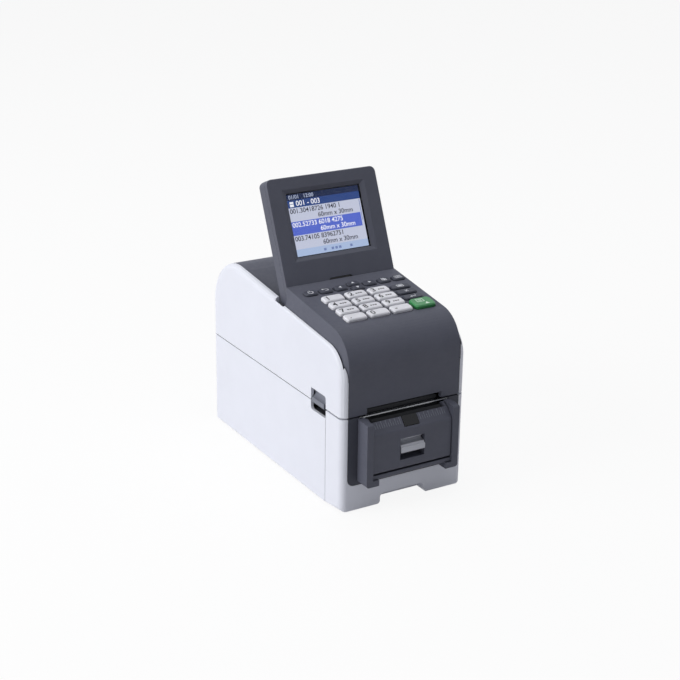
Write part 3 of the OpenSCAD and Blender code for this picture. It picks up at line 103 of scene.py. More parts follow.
def span(node, face):
    """Lowest and highest corner of a CAD node along a face's axes, in millimetres."""
    return box_round(corners(node, face))


def spot(face, across, up, out):
    """Place on a face, as a 4x4 that takes millimetres to metres."""
    return Matrix.Translation(face @ Vector((across, up, out)) * MM) @ (face * MM).to_4x4()


# ---- flat outlines for printed signs ----


def box_outline(left, low, right, high):
    """Corners of a box, from its lower left one."""
    return [(left, low), (right, low), (right, high), (left, high)]


def arc(radius, start, end, middle=(0, 0), steps=14):
    """Points along an arc, its angles in degrees."""
    turns = [math.radians(start + (end - start) * i / steps) for i in range(steps + 1)]
    return [(middle[0] + radius * math.cos(t), middle[1] + radius * math.sin(t)) for t in turns]


def band(points, width):
    """Outline of a line of one width along open points."""
    sides = ([], [])
    for i, point in enumerate(points):
        before, after = points[max(i - 1, 0)], points[min(i + 1, len(points) - 1)]
        along = Vector((after[0] - before[0], after[1] - before[1])).normalized()
        off = Vector((-along.y, along.x)) * width / 2
        sides[0].append((point[0] + off.x, point[1] + off.y))
        sides[1].append((point[0] - off.x, point[1] - off.y))
    return sides[1] + sides[0][::-1]


def frame_bands(left, low, right, high, width):
    """Four bars round a box."""
    return [
        box_outline(left, low, right, low + width),
        box_outline(left, high - width, right, high),
        box_outline(left, low + width, left + width, high - width),
        box_outline(right - width, low + width, right, high - width),
    ]


def pointer(size, turn):
    """Triangle that points right before it is turned, in degrees."""
    return arc(size, turn, turn + 360, steps=3)[:3]


# ---- pieces ----

INK_T = 0.03


def put(shape, name, material, body):
    """Turns a bmesh into a piece of one material that moves with a CAD body."""
    mesh = bpy.data.meshes.new(name)
    bmesh.ops.recalc_face_normals(shape, faces=shape.faces)
    shape.to_mesh(mesh)
    shape.free()
    mesh.materials.append(material)
    piece = bpy.data.objects.new(name, mesh)
    bpy.context.scene.collection.objects.link(piece)
    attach(piece, body)
    return piece


def add_prism(shape, place, outline, foot, top, taper=1.0):
    """Adds a solid over an outline between two heights, its foot drawn in to the taper."""
    low, high = (
        [shape.verts.new(place @ Vector((x * scale, y * scale, z))) for x, y in outline]
        for z, scale in ((foot, taper), (top, 1.0))
    )
    shape.faces.new(low[::-1])
    shape.faces.new(high)
    for i in range(len(outline)):
        j = (i + 1) % len(outline)
        shape.faces.new((low[i], low[j], high[j], high[i]))


def add_turned(shape, place, profile, steps=32):
    """Adds a closed solid turned about the place's z, from (radius, height) points axis to axis."""
    rings = []
    for radius, height in profile:
        circle = arc(radius, 0, 360, steps=steps)[:-1] if radius else [(0, 0)]
        rings.append([shape.verts.new(place @ Vector((x, y, height))) for x, y in circle])
    for low, high in zip(rings, rings[1:]):
        for i in range(steps):
            j = (i + 1) % steps
            loop = [low[i % len(low)], low[j % len(low)], high[j % len(high)], high[i % len(high)]]
            shape.faces.new(list(dict.fromkeys(loop)))


def printed(name, outlines, place, material, body, foot=0.0, height=INK_T):
    """Signs as thin prisms that stand on a face."""
    shape = bmesh.new()
    for outline in outlines:
        add_prism(shape, place, outline, foot, foot + height)
    return put(shape, name, material, body)


def figure(name, text, size, place, material, body, foot=0.0, height=INK_T, bold=0.0, align="CENTER"):
    """Plain figures as thin prisms that stand on a face."""
    curve = bpy.data.curves.new(name, "FONT")
    curve.body, curve.size, curve.offset = text, size, bold
    curve.align_x, curve.align_y = align, "CENTER"
    curve.extrude = height / 2
    line = bpy.data.objects.new(name + "_line", curve)
    bpy.context.scene.collection.objects.link(line)
    bpy.context.view_layer.update()
    flat = bpy.data.meshes.new_from_object(line)
    bpy.data.objects.remove(line)
    flat.transform(place @ Matrix.Translation((0, 0, foot + height / 2)))
    shape = bmesh.new()
    shape.from_mesh(flat)
    bpy.data.meshes.remove(flat)
    return put(shape, name, material, body)


# ---- shader nodes ----


def link(tree, source, target):
    """Joins a socket to its source, or sets it where the source is a plain value."""
    if isinstance(source, bpy.types.NodeSocket):
        tree.links.new(source, target)
    else:
        target.default_value = source


def add(tree, kind, **values):
    """A shader node, with its properties and its sockets' values set by name."""
    node = tree.nodes.new(kind)
    for name, value in values.items():
        if hasattr(node, name):
            setattr(node, name, value)
        else:
            node.inputs[name.replace("_", " ")].default_value = value
    return node


def noise(tree, place, scale, detail, roughness):
    """Cloudy noise from 0 to 1, its scale per metre."""
    node = add(tree, "ShaderNodeTexNoise", Scale=scale, Detail=detail, Roughness=roughness)
    link(tree, place, node.inputs["Vector"])
    return node.outputs["Fac"]


def ranged(tree, value, source, target):
    """The value taken from one range to another, and held at its ends."""
    node = add(tree, "ShaderNodeMapRange")
    for name, number in zip(("From Min", "From Max", "To Min", "To Max"), (*source, *target)):
        node.inputs[name].default_value = number
    link(tree, value, node.inputs["Value"])
    return node.outputs["Result"]


def maths(tree, operation, *terms):
    """Arithmetic on sockets and numbers, clamped to 0 and 1."""
    node = add(tree, "ShaderNodeMath", operation=operation, use_clamp=True)
    for term, socket in zip(terms, node.inputs):
        link(tree, term, socket)
    return node.outputs["Value"]


def scaled(tree, colour, amount):
    """A colour times an amount."""
    node = add(tree, "ShaderNodeVectorMath", operation="SCALE")
    link(tree, colour, node.inputs[0])
    link(tree, amount, node.inputs["Scale"])
    return node.outputs["Vector"]


def mixed(tree, share, under, over):
    """A colour with a share of another over it."""
    node = add(tree, "ShaderNodeMix", data_type="RGBA")
    for name, source in (("Factor", share), ("A", under), ("B", over)):
        link(tree, source, node.inputs[name])
    return node.outputs["Result"]


# ---- materials ----

# The middle of a noise, which is drawn out to the whole of what it drives
NOISE_SPAN = (0.3, 0.7)
# Scales per metre of the colour's slow drift, and of the patches of wear and polish
DRIFT_SCALE, PATCH_SCALE = 38.0, 260.0
# Cosines of the bend of an edge where rubbing starts and where it is full
BEND_SPAN = (0.995, 0.8)
# Edges are rubbed in patches: noise, and the share of the wear that it leaves
PATCH_SPAN, PATCH_SHARE = (0.35, 0.62), (0.15, 1.0)
# A rubbed edge is this much lighter, unless its colour is given, and this much smoother
RUBBED_GAIN, RUBBED_LIFT, RUBBED_POLISH = 1.5, 0.02, -0.25
# How far off a gap's other side still darkens it with painted shade, and the open shares where that shade is
# full and where it ends
GAP_REACH, GAP_SPAN = 1.6, (0.28, 0.56)
EDGE_SAMPLES, GAP_SAMPLES = 4, 6


def linear(code):
    """Linear colour of an sRGB hex code."""
    parts = [int(code[i : i + 2], 16) / 255 for i in (1, 3, 5)]
    return tuple(c / 12.92 if c <= 0.04045 else ((c + 0.055) / 1.055) ** 2.4 for c in parts) + (1.0,)


def new_material(name, **values):
    """A material, its node tree and its shader, with the shader's sockets set by name."""
    material = bpy.data.materials.new(name)
    material.use_nodes = True
    shader = material.node_tree.nodes["Principled BSDF"]
    for socket, value in values.items():
        shader.inputs[socket.replace("_", " ")].default_value = value
    return material, material.node_tree, shader


def finish(
    name, colour, rough, grain=0.3, relief=0.012, mottle=0.04, worn=None, wear=0.5, edge=0.35,
    stretch=(1, 1, 1), spread=0.08, gap=0.12, **values
):
    """A moulded, cut or painted surface, its colours as hex codes.

    grain and relief are the texture's spacing and depth; mottle is how far the colour wanders;
    worn is the colour of rubbed edges, wear how far it covers them and edge their radius;
    stretch draws the grain out for brushed metal; spread is how far the roughness wanders;
    gap is the share of the colour left deep in the gaps between pieces and in inside corners, where painted
    shade darkens it.
    """
    material, tree, shader = new_material(name, **values)
    plain = linear(colour)
    lighter = tuple(min(1.0, c * RUBBED_GAIN + RUBBED_LIFT) for c in plain[:3]) + (1.0,)

    where = add(tree, "ShaderNodeTexCoord").outputs["Object"]
    drawn = add(tree, "ShaderNodeMapping", Scale=stretch)
    link(tree, where, drawn.inputs["Vector"])
    fine = noise(tree, drawn.outputs["Vector"], scale=1 / (grain * MM), detail=3.0, roughness=0.65)
    drift = noise(tree, where, scale=DRIFT_SCALE, detail=4.0, roughness=0.6)
    patches = noise(tree, where, scale=PATCH_SCALE, detail=3.0, roughness=0.7)

    rounded = add(tree, "ShaderNodeBevel", samples=EDGE_SAMPLES, Radius=edge * MM).outputs["Normal"]
    bend = add(tree, "ShaderNodeVectorMath", operation="DOT_PRODUCT")
    link(tree, rounded, bend.inputs[0])
    link(tree, add(tree, "ShaderNodeNewGeometry").outputs["Normal"], bend.inputs[1])
    rubbed = maths(
        tree, "MULTIPLY",
        ranged(tree, bend.outputs["Value"], BEND_SPAN, (0.0, wear)),
        ranged(tree, patches, PATCH_SPAN, PATCH_SHARE),
    )
    # Painted shade: the colour is darkened where other surfaces lie close, as deep in gaps and inside corners
    open_share = add(tree, "ShaderNodeAmbientOcclusion", samples=GAP_SAMPLES, Distance=GAP_REACH * MM)

    tinted = scaled(tree, plain[:3], ranged(tree, drift, NOISE_SPAN, (1 - mottle, 1 + mottle)))
    coloured = mixed(tree, rubbed, tinted, linear(worn) if worn else lighter)
    gap_shade_factor = ranged(tree, open_share.outputs["AO"], GAP_SPAN, (gap, 1.0))
    link(tree, scaled(tree, coloured, gap_shade_factor), shader.inputs["Base Color"])

    polish = ranged(tree, patches, NOISE_SPAN, (rough - spread, rough + spread))
    link(tree, maths(tree, "MULTIPLY_ADD", rubbed, RUBBED_POLISH, polish), shader.inputs["Roughness"])

    bump = add(tree, "ShaderNodeBump", Strength=1.0, Distance=relief * MM)
    link(tree, fine, bump.inputs["Height"])
    link(tree, rounded, bump.inputs["Normal"])
    link(tree, bump.outputs["Normal"], shader.inputs["Normal"])
    return material


def ink(name, colour):
    """Printed ink: thin, slightly uneven."""
    return finish(name, colour, rough=0.45, grain=0.15, relief=0.004, mottle=0.08, wear=0.0, edge=0.02)


PANEL_BLACK = (0.01, 0.01, 0.012, 1)
# Scale per metre of the panel's stripes of dots, and the share of their light left between them
DOTS_SCALE, DOTS_DIM = 2200.0, 0.9


def lit(name, colour):
    """Part of the lit picture: stripes of the panel's dots, shining over a dark base."""
    material, tree, shader = new_material(
        name, Base_Color=PANEL_BLACK, Roughness=0.4, Specular_IOR_Level=0.05, Emission_Strength=1.0
    )
    dots = add(
        tree, "ShaderNodeTexWave", wave_type="BANDS", bands_direction="X", Scale=DOTS_SCALE, Distortion=0.0
    )
    link(tree, add(tree, "ShaderNodeTexCoord").outputs["Object"], dots.inputs["Vector"])
    level = ranged(tree, dots.outputs["Fac"], (0.0, 1.0), (DOTS_DIM, 1.0))
    link(tree, scaled(tree, linear(colour)[:3], level), shader.inputs["Emission Color"])
    return material


ALONG_X = (0.04, 1, 1)
FINISHES = {
    "white_plastic": dict(
        colour="#E3E5EE", rough=0.45, grain=0.45, relief=0.010, mottle=0.012, worn="#F2F4F8", wear=0.35,
        # Painted shade leaves the white plastic nearly black deep in its seams
        gap=0.02,
    ),
    "dark_plastic": dict(
        colour="#555763", rough=0.56, grain=0.4, relief=0.022, mottle=0.05, worn="#7C7E88", wear=0.4,
        Specular_IOR_Level=0.3,
    ),
    "inner_plastic": dict(
        colour="#2E2F35", rough=0.5, grain=0.8, relief=0.008, mottle=0.06, Specular_IOR_Level=0.35,
    ),
    "foot_rubber": dict(
        colour="#232427", rough=0.85, grain=0.25, relief=0.03, mottle=0.12, worn="#3A3B3E",
        Specular_IOR_Level=0.3,
    ),
    "steel": dict(
        colour="#B4B6BA", rough=0.3, grain=0.25, relief=0.006, stretch=(0.05, 1, 1), worn="#D8DADC",
        Metallic=1.0,
    ),
    "circuit_board": dict(
        colour="#1F5A3C", rough=0.35, grain=1.6, relief=0.02, mottle=0.2, worn="#B9A35C",
    ),
    "gear_plastic": dict(
        colour="#E6E4DC", rough=0.38, grain=0.6, relief=0.006, mottle=0.03,
        Subsurface_Weight=0.15, Subsurface_Scale=0.002,
    ),
    "lever_plastic": dict(
        colour="#C3C5CD", rough=0.4, grain=0.35, relief=0.012, worn="#D4D5DA", wear=0.6,
    ),
    "sensor_plastic": dict(
        colour="#0B0B0E", rough=0.3, grain=1.2, relief=0.002, mottle=0.1, spread=0.05,
        Specular_IOR_Level=0.25, Coat_Weight=0.12, Coat_Roughness=0.1,
    ),
    "head_aluminium": dict(
        colour="#A9ACB1", rough=0.34, grain=0.2, relief=0.01, stretch=ALONG_X, worn="#D6D8DB", Metallic=1.0,
    ),
    "key_silicone": dict(
        colour="#C7C9CF", rough=0.7, grain=0.5, relief=0.01, Subsurface_Weight=0.2, Subsurface_Scale=0.003,
    ),
    "screen_glass": dict(
        colour="#FFFFFF", rough=0.05, grain=6.0, relief=0.0004, mottle=0.0, wear=0.0, spread=0.02, gap=1.0,
        Transmission_Weight=1.0, IOR=1.12,
    ),
    "white_key": dict(
        colour="#EAEAF0", rough=0.42, grain=0.3, relief=0.010, mottle=0.02, worn="#F8F8FA", wear=0.3,
    ),
    "dark_key": dict(
        colour="#42444F", rough=0.5, grain=0.3, relief=0.016, mottle=0.04, worn="#70727D",
        Specular_IOR_Level=0.3,
    ),
    "green_key": dict(
        colour="#33894A", rough=0.36, grain=0.35, relief=0.008, mottle=0.04, worn="#6DB986",
        Coat_Weight=0.15, Coat_Roughness=0.25,
    ),
    "anodised_black": dict(
        colour="#1B1C20", rough=0.4, grain=0.2, relief=0.01, stretch=ALONG_X, worn="#6C6E74", wear=0.4,
        Specular_IOR_Level=0.25,
    ),
    "latch_plastic": dict(
        colour="#777A85", rough=0.5, grain=0.35, relief=0.014, mottle=0.04, worn="#A2A5AE",
        Specular_IOR_Level=0.35,
    ),
    "inset_plastic": dict(
        colour="#474953", rough=0.6, grain=0.4, relief=0.022, mottle=0.05, worn="#6C6E78", wear=0.3,
        Specular_IOR_Level=0.25,
    ),
    "contact_gold": dict(colour="#D9B45A", rough=0.25, grain=0.2, relief=0.003, Metallic=1.0),
    "screw_zinc": dict(colour="#8F9298", rough=0.32, grain=0.15, relief=0.006, Metallic=1.0),
    "floor_paint": dict(colour="#D6D6D9", rough=0.8, grain=2.0, relief=0.01, mottle=0.01, wear=0.0, gap=1.0),
}
materials = {name: finish(name, **look) for name, look in FINISHES.items()}
inks = {
    "black": ink("black_ink", "#131419"),
    "white": ink("white_ink", "#E6E8EE"),
    "pale": ink("pale_ink", "#DDF2DF"),
    "grey": ink("scale_ink", "#858893"),
}

# Nodes that share a slot with plainer ones, and have a finish of their own
OWN_FINISH = {
    "print_head": "anodised_black",
    "release_bar": "latch_plastic",
    "front_inset": "inset_plastic",
}
# Edges that turn less than this, in degrees, are shaded as round
SMOOTH_UNDER = 32.0


def smooth(mesh):
    """Shades a mesh as round, but for its sharp edges."""
    mesh.shade_smooth()
    mesh.set_sharp_from_angle(angle=math.radians(SMOOTH_UNDER))


slot_of = {part["node"]: part["material_slot"] for part in frame["record"]["subparts"]}
for node, piece in nodes.items():
    piece.data.materials.clear()
    piece.data.materials.append(materials[OWN_FINISH.get(node, slot_of[node])])
    smooth(piece.data)


# ---- figures and signs on the keys ----

KEY_FIGURES = {"key_" + text: text for text in "1234567890"} | {"key_point": ".", "key_dash": "-"}
# A bolder line than this breaks the round figures
FIGURE_SIZE, FIGURE_BOLD = 7.4, 0.14
FIGURE_X, FIGURE_Y = -4.7, -0.2
# Three short strokes stand beside the figures that share their key with other characters
MARKED = "23456789"
MARK_COUNT, MARK_W, MARK_D, MARK_PITCH = 3, 1.6, 1.3, 2.0
MARK_X, MARK_Y = -0.6, -0.3
SIGN_SCALE, PRINT_SIGN_SCALE = 1.2, 1.25
LINE, THIN_LINE, BROAD_LINE = 0.42, 0.4, 0.45


def key_face(node, scale=1.0):
    """Middle of a key's top, as a place for its sign."""
    low, high = span(node, KEYPAD)
    middle = spot(KEYPAD, (low.x + high.x) / 2, (low.y + high.y) / 2, high.z)
    return middle @ Matrix.Diagonal((scale, scale, 1, 1))


for node, text in KEY_FIGURES.items():
    top, own_name = key_face(node), node.removeprefix("key_")
    figure(
        f"figure_{own_name}", text, FIGURE_SIZE, top @ Matrix.Translation((FIGURE_X, FIGURE_Y, 0)),
        inks["black"], body_of[node], bold=FIGURE_BOLD,
    )
    if text in MARKED:
        strokes = [
            box_outline(x, MARK_Y - MARK_D / 2, x + MARK_W, MARK_Y + MARK_D / 2)
            for x in (MARK_X + i * MARK_PITCH for i in range(MARK_COUNT))
        ]
        printed(f"strokes_{text}", strokes, top, inks["black"], body_of[node])

# Each sign is drawn from the middle of its key
HOOK = [(-1.6, 0.9), (1.0, 0.9)] + arc(0.95, 90, -90, (1.0, -0.05), 8) + [(-0.6, -1.0)]
HOOK_TIP = [(-2.7, 0.9), (-1.4, 0.1), (-1.4, 1.7)]
RETURN_LINE = [(2.0, 1.3), (2.0, -0.5), (-1.0, -0.5)]
RETURN_TIP = [(-2.3, -0.5), (-1.0, -1.4), (-1.0, 0.4)]
CROSS = ([(-1.1, -1.1), (1.1, 1.1)], [(-1.1, 1.1), (1.1, -1.1)])
MENU_LINES = (-1.5, -0.2, 1.1)
POINTER = 1.35
KEY_SIGNS = {
    "key_power": [band(arc(1.7, 120, 420, steps=24), LINE), box_outline(-LINE / 2, 0.3, LINE / 2, 2.1)],
    "key_back": [band(HOOK, LINE), HOOK_TIP],
    "key_left": [pointer(POINTER, 180)],
    "key_up": [pointer(POINTER, 90)],
    "key_down": [pointer(POINTER, -90)],
    "key_right": [pointer(POINTER, 0)],
    "key_copy": frame_bands(-1.7, -1.0, 0.7, 1.4, LINE) + frame_bands(-0.7, -1.6, 1.7, 0.8, LINE),
    "key_menu": [box_outline(-2.6, y, 2.6, y + BROAD_LINE) for y in MENU_LINES],
    "key_mode": frame_bands(-2.4, -1.5, 2.4, 1.5, LINE) + [box_outline(-1.4, -0.6, 1.4, 0.6)],
    "key_clear": [band(line, THIN_LINE) for line in CROSS],
    "key_enter": [band(RETURN_LINE, THIN_LINE), RETURN_TIP],
}
for node, outlines in KEY_SIGNS.items():
    own_name = node.removeprefix("key_")
    printed(f"sign_{own_name}", outlines, key_face(node, SIGN_SCALE), inks["white"], body_of[node])

# A label with two lines on it, over an arrow head
PRINT_LINES = (1.9, 0.8)
PRINT_TIP = [(0.2, -3.6), (3.4, -3.6), (1.8, -1.4)]
print_sign = frame_bands(-3.6, -0.4, 1.6, 3.4, BROAD_LINE)
print_sign += [box_outline(-2.4, y, 0.4, y + BROAD_LINE) for y in PRINT_LINES] + [PRINT_TIP]
printed("sign_print", print_sign, key_face("key_print", PRINT_SIGN_SCALE), inks["pale"], body_of["key_print"])


# ---- scale of label widths on the peeler's door, either side of the sensor ----

TICK_W, TICK_PITCH, TICK_FIRST, TICK_LAST = 0.28, 2, 9, 31
TICK_FOOT, TICK_LONG, TICK_SHORT = 2.6, 5.4, 3.2

tick_foot = span("label_sensor", DOOR_TOP)[0].y + TICK_FOOT
door_out = span("peeler_door", DOOR_TOP)[1].z
ticks = []
for i, off in enumerate(range(TICK_FIRST, TICK_LAST + 1, TICK_PITCH)):
    tick_top = tick_foot + (TICK_SHORT if i % 2 else TICK_LONG)
    ticks += [box_outline(x - TICK_W / 2, tick_foot, x + TICK_W / 2, tick_top) for x in (-off, off)]
printed("label_scale", ticks, spot(DOOR_TOP, 0, 0, door_out), inks["grey"], "door")


# ---- dark sheet of painted shadow in the finger scoop at the display's foot ----

SCOOP_DEEP, SCOOP_CORNER = 1.6, 2.5
SHADE_SHEET_GAP, SHADE_SHEET_T = 0.08, 0.15
# The scoop's floor is known by the bezel's corners that lie in its plane, below the window
SAME_PLANE = 0.01

window_low, window_high = span("display_window", DISPLAY_FRONT)
scoop_out = span("display_bezel", DISPLAY_FRONT)[1].z - SCOOP_DEEP
scoop_low, scoop_high = box_round(
    corner
    for corner in corners("display_bezel", DISPLAY_FRONT)
    if abs(corner.z - scoop_out) < SAME_PLANE and corner.y < window_low.y - SCOOP_DEEP
)
shade_right, shade_top = scoop_high.x - SHADE_SHEET_GAP, scoop_high.y - SHADE_SHEET_GAP
corner_x, corner_y = shade_right - SCOOP_CORNER, shade_top - SCOOP_CORNER
scoop_shade_outline = (
    [(-shade_right, scoop_low.y), (shade_right, scoop_low.y)]
    + arc(SCOOP_CORNER, 0, 90, (corner_x, corner_y))
    + arc(SCOOP_CORNER, 90, 180, (-corner_x, corner_y))
)
scoop_place = spot(DISPLAY_FRONT, 0, 0, scoop_out)
# Painted shadow: a thin black sheet on the scoop's floor darkens it as its shade would
printed("scoop_painted_shade", [scoop_shade_outline], scoop_place, materials["sensor_plastic"], "display", 0, SHADE_SHEET_T)


# ---- lit picture behind the display's window ----

# The window reaches this far past the picture all round
WINDOW_LIP = 1.4
# The picture's layers: how far the first lies over the panel, how far apart they are, and how
# thick the boxes and the figures in them are
FIRST_LAYER, LAYER, TOP_LAYER = 0.02, 0.035, 3
BOX_T, FIGURE_T = LAYER * 0.8, LAYER * 0.5
PICTURE_BOLD = 0.06
LIT_COLOURS = {
    "black": "#06070A", "night": "#1C2848", "navy": "#2A4480", "row": "#C2C7DB", "chosen": "#5569CB",
    "bar": "#A9BCDD", "white": "#EEF0F8", "grey": "#A9B3CC", "dark": "#2A2C3C", "faint": "#7283B4",
}
EDGE = 0.7
STATUS_H, TITLE_H, FOOT_H = 4.7, 5.9, 5.6
CLOCK_X, CLOCK_SIZE = 2.4, 4.2
TITLE_X, TITLE_SIZE = 8.0, 5.6
TITLE_MARK_X, TITLE_MARK_W = 2.6, 3.4
TITLE_MARK_BARS = ((0.8, 2.0), (3.2, 1.6))
ROW_FIGURES = ("30418726 1940 1", "52733 6018 4275", "74105 83962751")
LABEL_SIZE = "60mm x 30mm"
CHOSEN_ROW = 2
ROW_SIZE, ROW_X, LABEL_X = 5.2, 0.8, 25.5
# Heights of a row's two lines, as shares of the row
ROW_Y, LABEL_Y = 0.74, 0.27
SLIDER_SPACE, SLIDER_W = 1.5, 0.6
# Foot and height of the slider, in rows
SLIDER_FROM, SLIDER_H = 1.4, 1.55
FOOT_MARK_X, FOOT_MARK_Y, FOOT_MARK_W, FOOT_MARK_H, FOOT_MARK_PITCH = 25.0, 1.6, 2.2, 2.0, 3.4
FOOT_MARKS = (0, 2, 3, 4, 7)

picture_left, picture_low = window_low.x + WINDOW_LIP, window_low.y + WINDOW_LIP
picture_w = window_high.x - WINDOW_LIP - picture_left
picture_h = window_high.y - WINDOW_LIP - picture_low
picture_place = spot(DISPLAY_FRONT, 0, 0, span("lcd_module", DISPLAY_FRONT)[1].z)
lights = {name: lit("lit_" + name, colour) for name, colour in LIT_COLOURS.items()}


def shown(name, colour, boxes, layer):
    """Filled boxes of the picture, as left, low, width and height from its lower left corner."""
    outlines = [
        box_outline(picture_left + x, picture_low + y, picture_left + x + w, picture_low + y + h)
        for x, y, w, h in boxes
    ]
    foot = FIRST_LAYER + layer * LAYER
    printed("picture_" + name, outlines, picture_place, lights[colour], "display", foot, BOX_T)


def shown_figures(name, text, colour, x, y, size):
    """Figures in the picture's top layer, their middle left at x and y."""
    place = picture_place @ Matrix.Translation((picture_left + x, picture_low + y, 0))
    figure(
        "picture_" + name, text, size, place, lights[colour], "display",
        FIRST_LAYER + TOP_LAYER * LAYER, FIGURE_T, bold=PICTURE_BOLD, align="LEFT",
    )


inside_w = picture_w - 2 * EDGE
foot_top = EDGE + FOOT_H
title_foot = picture_h - EDGE - STATUS_H - TITLE_H
title_top = title_foot + TITLE_H
row_h = (title_foot - foot_top) / len(ROW_FIGURES)
row_feet = [title_foot - row_h * (row + 1) for row in range(len(ROW_FIGURES))]
chosen_foot = row_feet[CHOSEN_ROW - 1]
slider_left = picture_w - EDGE - SLIDER_SPACE
shown("ground", "black", [(0, 0, picture_w, picture_h)], 0)
shown("rows", "row", [(EDGE, foot_top, inside_w, title_foot - foot_top)], 1)
shown("status", "night", [(EDGE, title_top, inside_w, STATUS_H)], 1)
shown("title", "navy", [(EDGE, title_foot, inside_w, TITLE_H)], 1)
shown("foot", "bar", [(EDGE, EDGE, inside_w, FOOT_H)], 1)
slider = (slider_left, foot_top + row_h * SLIDER_FROM, SLIDER_W, row_h * SLIDER_H)
shown("slider", "faint", [slider], TOP_LAYER)
shown("chosen", "chosen", [(EDGE, chosen_foot, inside_w - SLIDER_SPACE - SLIDER_W, row_h)], 2)
shown_figures("clock", "01/01   12:00", "grey", CLOCK_X, title_top + STATUS_H / 2, CLOCK_SIZE)
title_mark = [(TITLE_MARK_X, title_foot + y, TITLE_MARK_W, h) for y, h in TITLE_MARK_BARS]
shown("title_mark", "white", title_mark, TOP_LAYER)
shown_figures("title_figures", "001 - 003", "white", TITLE_X, title_foot + TITLE_H / 2, TITLE_SIZE)
for number, (figures, foot) in enumerate(zip(ROW_FIGURES, row_feet), start=1):
    colour = "white" if number == CHOSEN_ROW else "dark"
    line = f"00{number}.{figures}"
    shown_figures(f"row_{number}", line, colour, EDGE + ROW_X, foot + row_h * ROW_Y, ROW_SIZE)
    shown_figures(f"row_size_{number}", LABEL_SIZE, colour, LABEL_X, foot + row_h * LABEL_Y, ROW_SIZE)
foot_marks = [
    (FOOT_MARK_X + i * FOOT_MARK_PITCH, EDGE + FOOT_MARK_Y, FOOT_MARK_W, FOOT_MARK_H) for i in FOOT_MARKS
]
shown("foot_marks", "faint", foot_marks, TOP_LAYER)


# ---- screws ----

# Share of a pan head's height at its rim, and the turns of the points of its crown, in degrees
RIM, CROWN_TURNS = 0.45, (0, 15, 30, 45, 60)
# The cross recess: its arms' half width and reach as shares of the head's radius, its floor and
# top as shares of the head's height, and how far it narrows to its floor
ARM, REACH, RECESS_FLOOR, RECESS_TOP, RECESS_TAPER = 0.2, 0.62, 0.35, 1.5, 0.7
# How far a seat's corners may be off its height, its reach and its width
SEAT_LEVEL, SEAT_REACH, SEAT_WIDTH = 0.05, 0.2, 0.3
PLATE_SEAT_Z, PLATE_SEAT_R, PLATE_HEAD_R, PLATE_HEAD_H = 2.6, 3.4, 2.9, 1.2
DISPLAY_SEAT_SINK, DISPLAY_SEAT_R, DISPLAY_HEAD_R, DISPLAY_HEAD_H = 1.2, 2.4, 2.1, 1.0


def screw(name, place, radius, height, body):
    """A pan head with a cross recess, standing on the place."""
    crown = [
        (radius * math.cos(turn), height * (RIM + (1 - RIM) * math.sin(turn)))
        for turn in map(math.radians, CROWN_TURNS)
    ]
    shape = bmesh.new()
    add_turned(shape, place, [(0, 0), (radius, 0), *crown, (0, height)])
    head = put(shape, name, materials["screw_zinc"], body)

    arm, reach = radius * ARM, radius * REACH
    cross = bmesh.new()
    for wide, tall in ((reach, arm), (arm, reach)):
        outline = box_outline(-wide, -tall, wide, tall)
        add_prism(cross, place, outline, height * RECESS_FLOOR, height * RECESS_TOP, RECESS_TAPER)
    cutter = put(cross, name + "_cutter", materials["screw_zinc"], body)
    recess = head.modifiers.new("recess", "BOOLEAN")
    recess.operation, recess.object, recess.use_self = "DIFFERENCE", cutter, True
    bpy.context.view_layer.update()
    cut = bpy.data.meshes.new_from_object(head.evaluated_get(bpy.context.evaluated_depsgraph_get()))
    head.modifiers.clear()
    head.data = cut
    bpy.data.objects.remove(cutter)
    smooth(cut)


def seats(node, face, out, radius):
    """Middles of a node's round screw seats of one radius, which lie at one height off a face."""
    groups = []
    for corner in corners(node, face):
        if abs(corner.z - out) < SEAT_LEVEL:
            near = [group for group in groups if (group[0] - corner).length < 2 * radius + SEAT_REACH]
            if near:
                near[0].append(corner)
            else:
                groups.append([corner])
    boxes = [box_round(group) for group in groups]
    return [(low + high) / 2 for low, high in boxes if abs(high.x - low.x - 2 * radius) < SEAT_WIDTH]


for i, place in enumerate(seats("bottom_plate", UNDERSIDE, -PLATE_SEAT_Z, PLATE_SEAT_R), start=1):
    screw(f"plate_screw_{i}", spot(UNDERSIDE, *place), PLATE_HEAD_R, PLATE_HEAD_H, "base")

display_seat = span("display_back", DISPLAY_REAR)[1].z - DISPLAY_SEAT_SINK
for i, place in enumerate(seats("display_back", DISPLAY_REAR, display_seat, DISPLAY_SEAT_R), start=1):
    screw(f"display_screw_{i}", spot(DISPLAY_REAR, *place), DISPLAY_HEAD_R, DISPLAY_HEAD_H, "display")


# ---- dark skins and gold contacts on the tongues of the data sockets ----

TONGUE_SINK, TONGUE_LENGTH, TONGUE_SKIN = 2.1, 7.0, 0.08
CONTACT_W, CONTACT_LENGTH, CONTACT_SINK, CONTACT_RISE = 0.45, 5.0, 0.5, 0.12
CONTACTS = {"lan_socket": 8, "usb_host_socket": 4, "usb_device_socket": 2}
# A tongue's corners lie this near its end, and within this share of its opening
TONGUE_LEVEL, TONGUE_SHARE = 0.1, 0.4

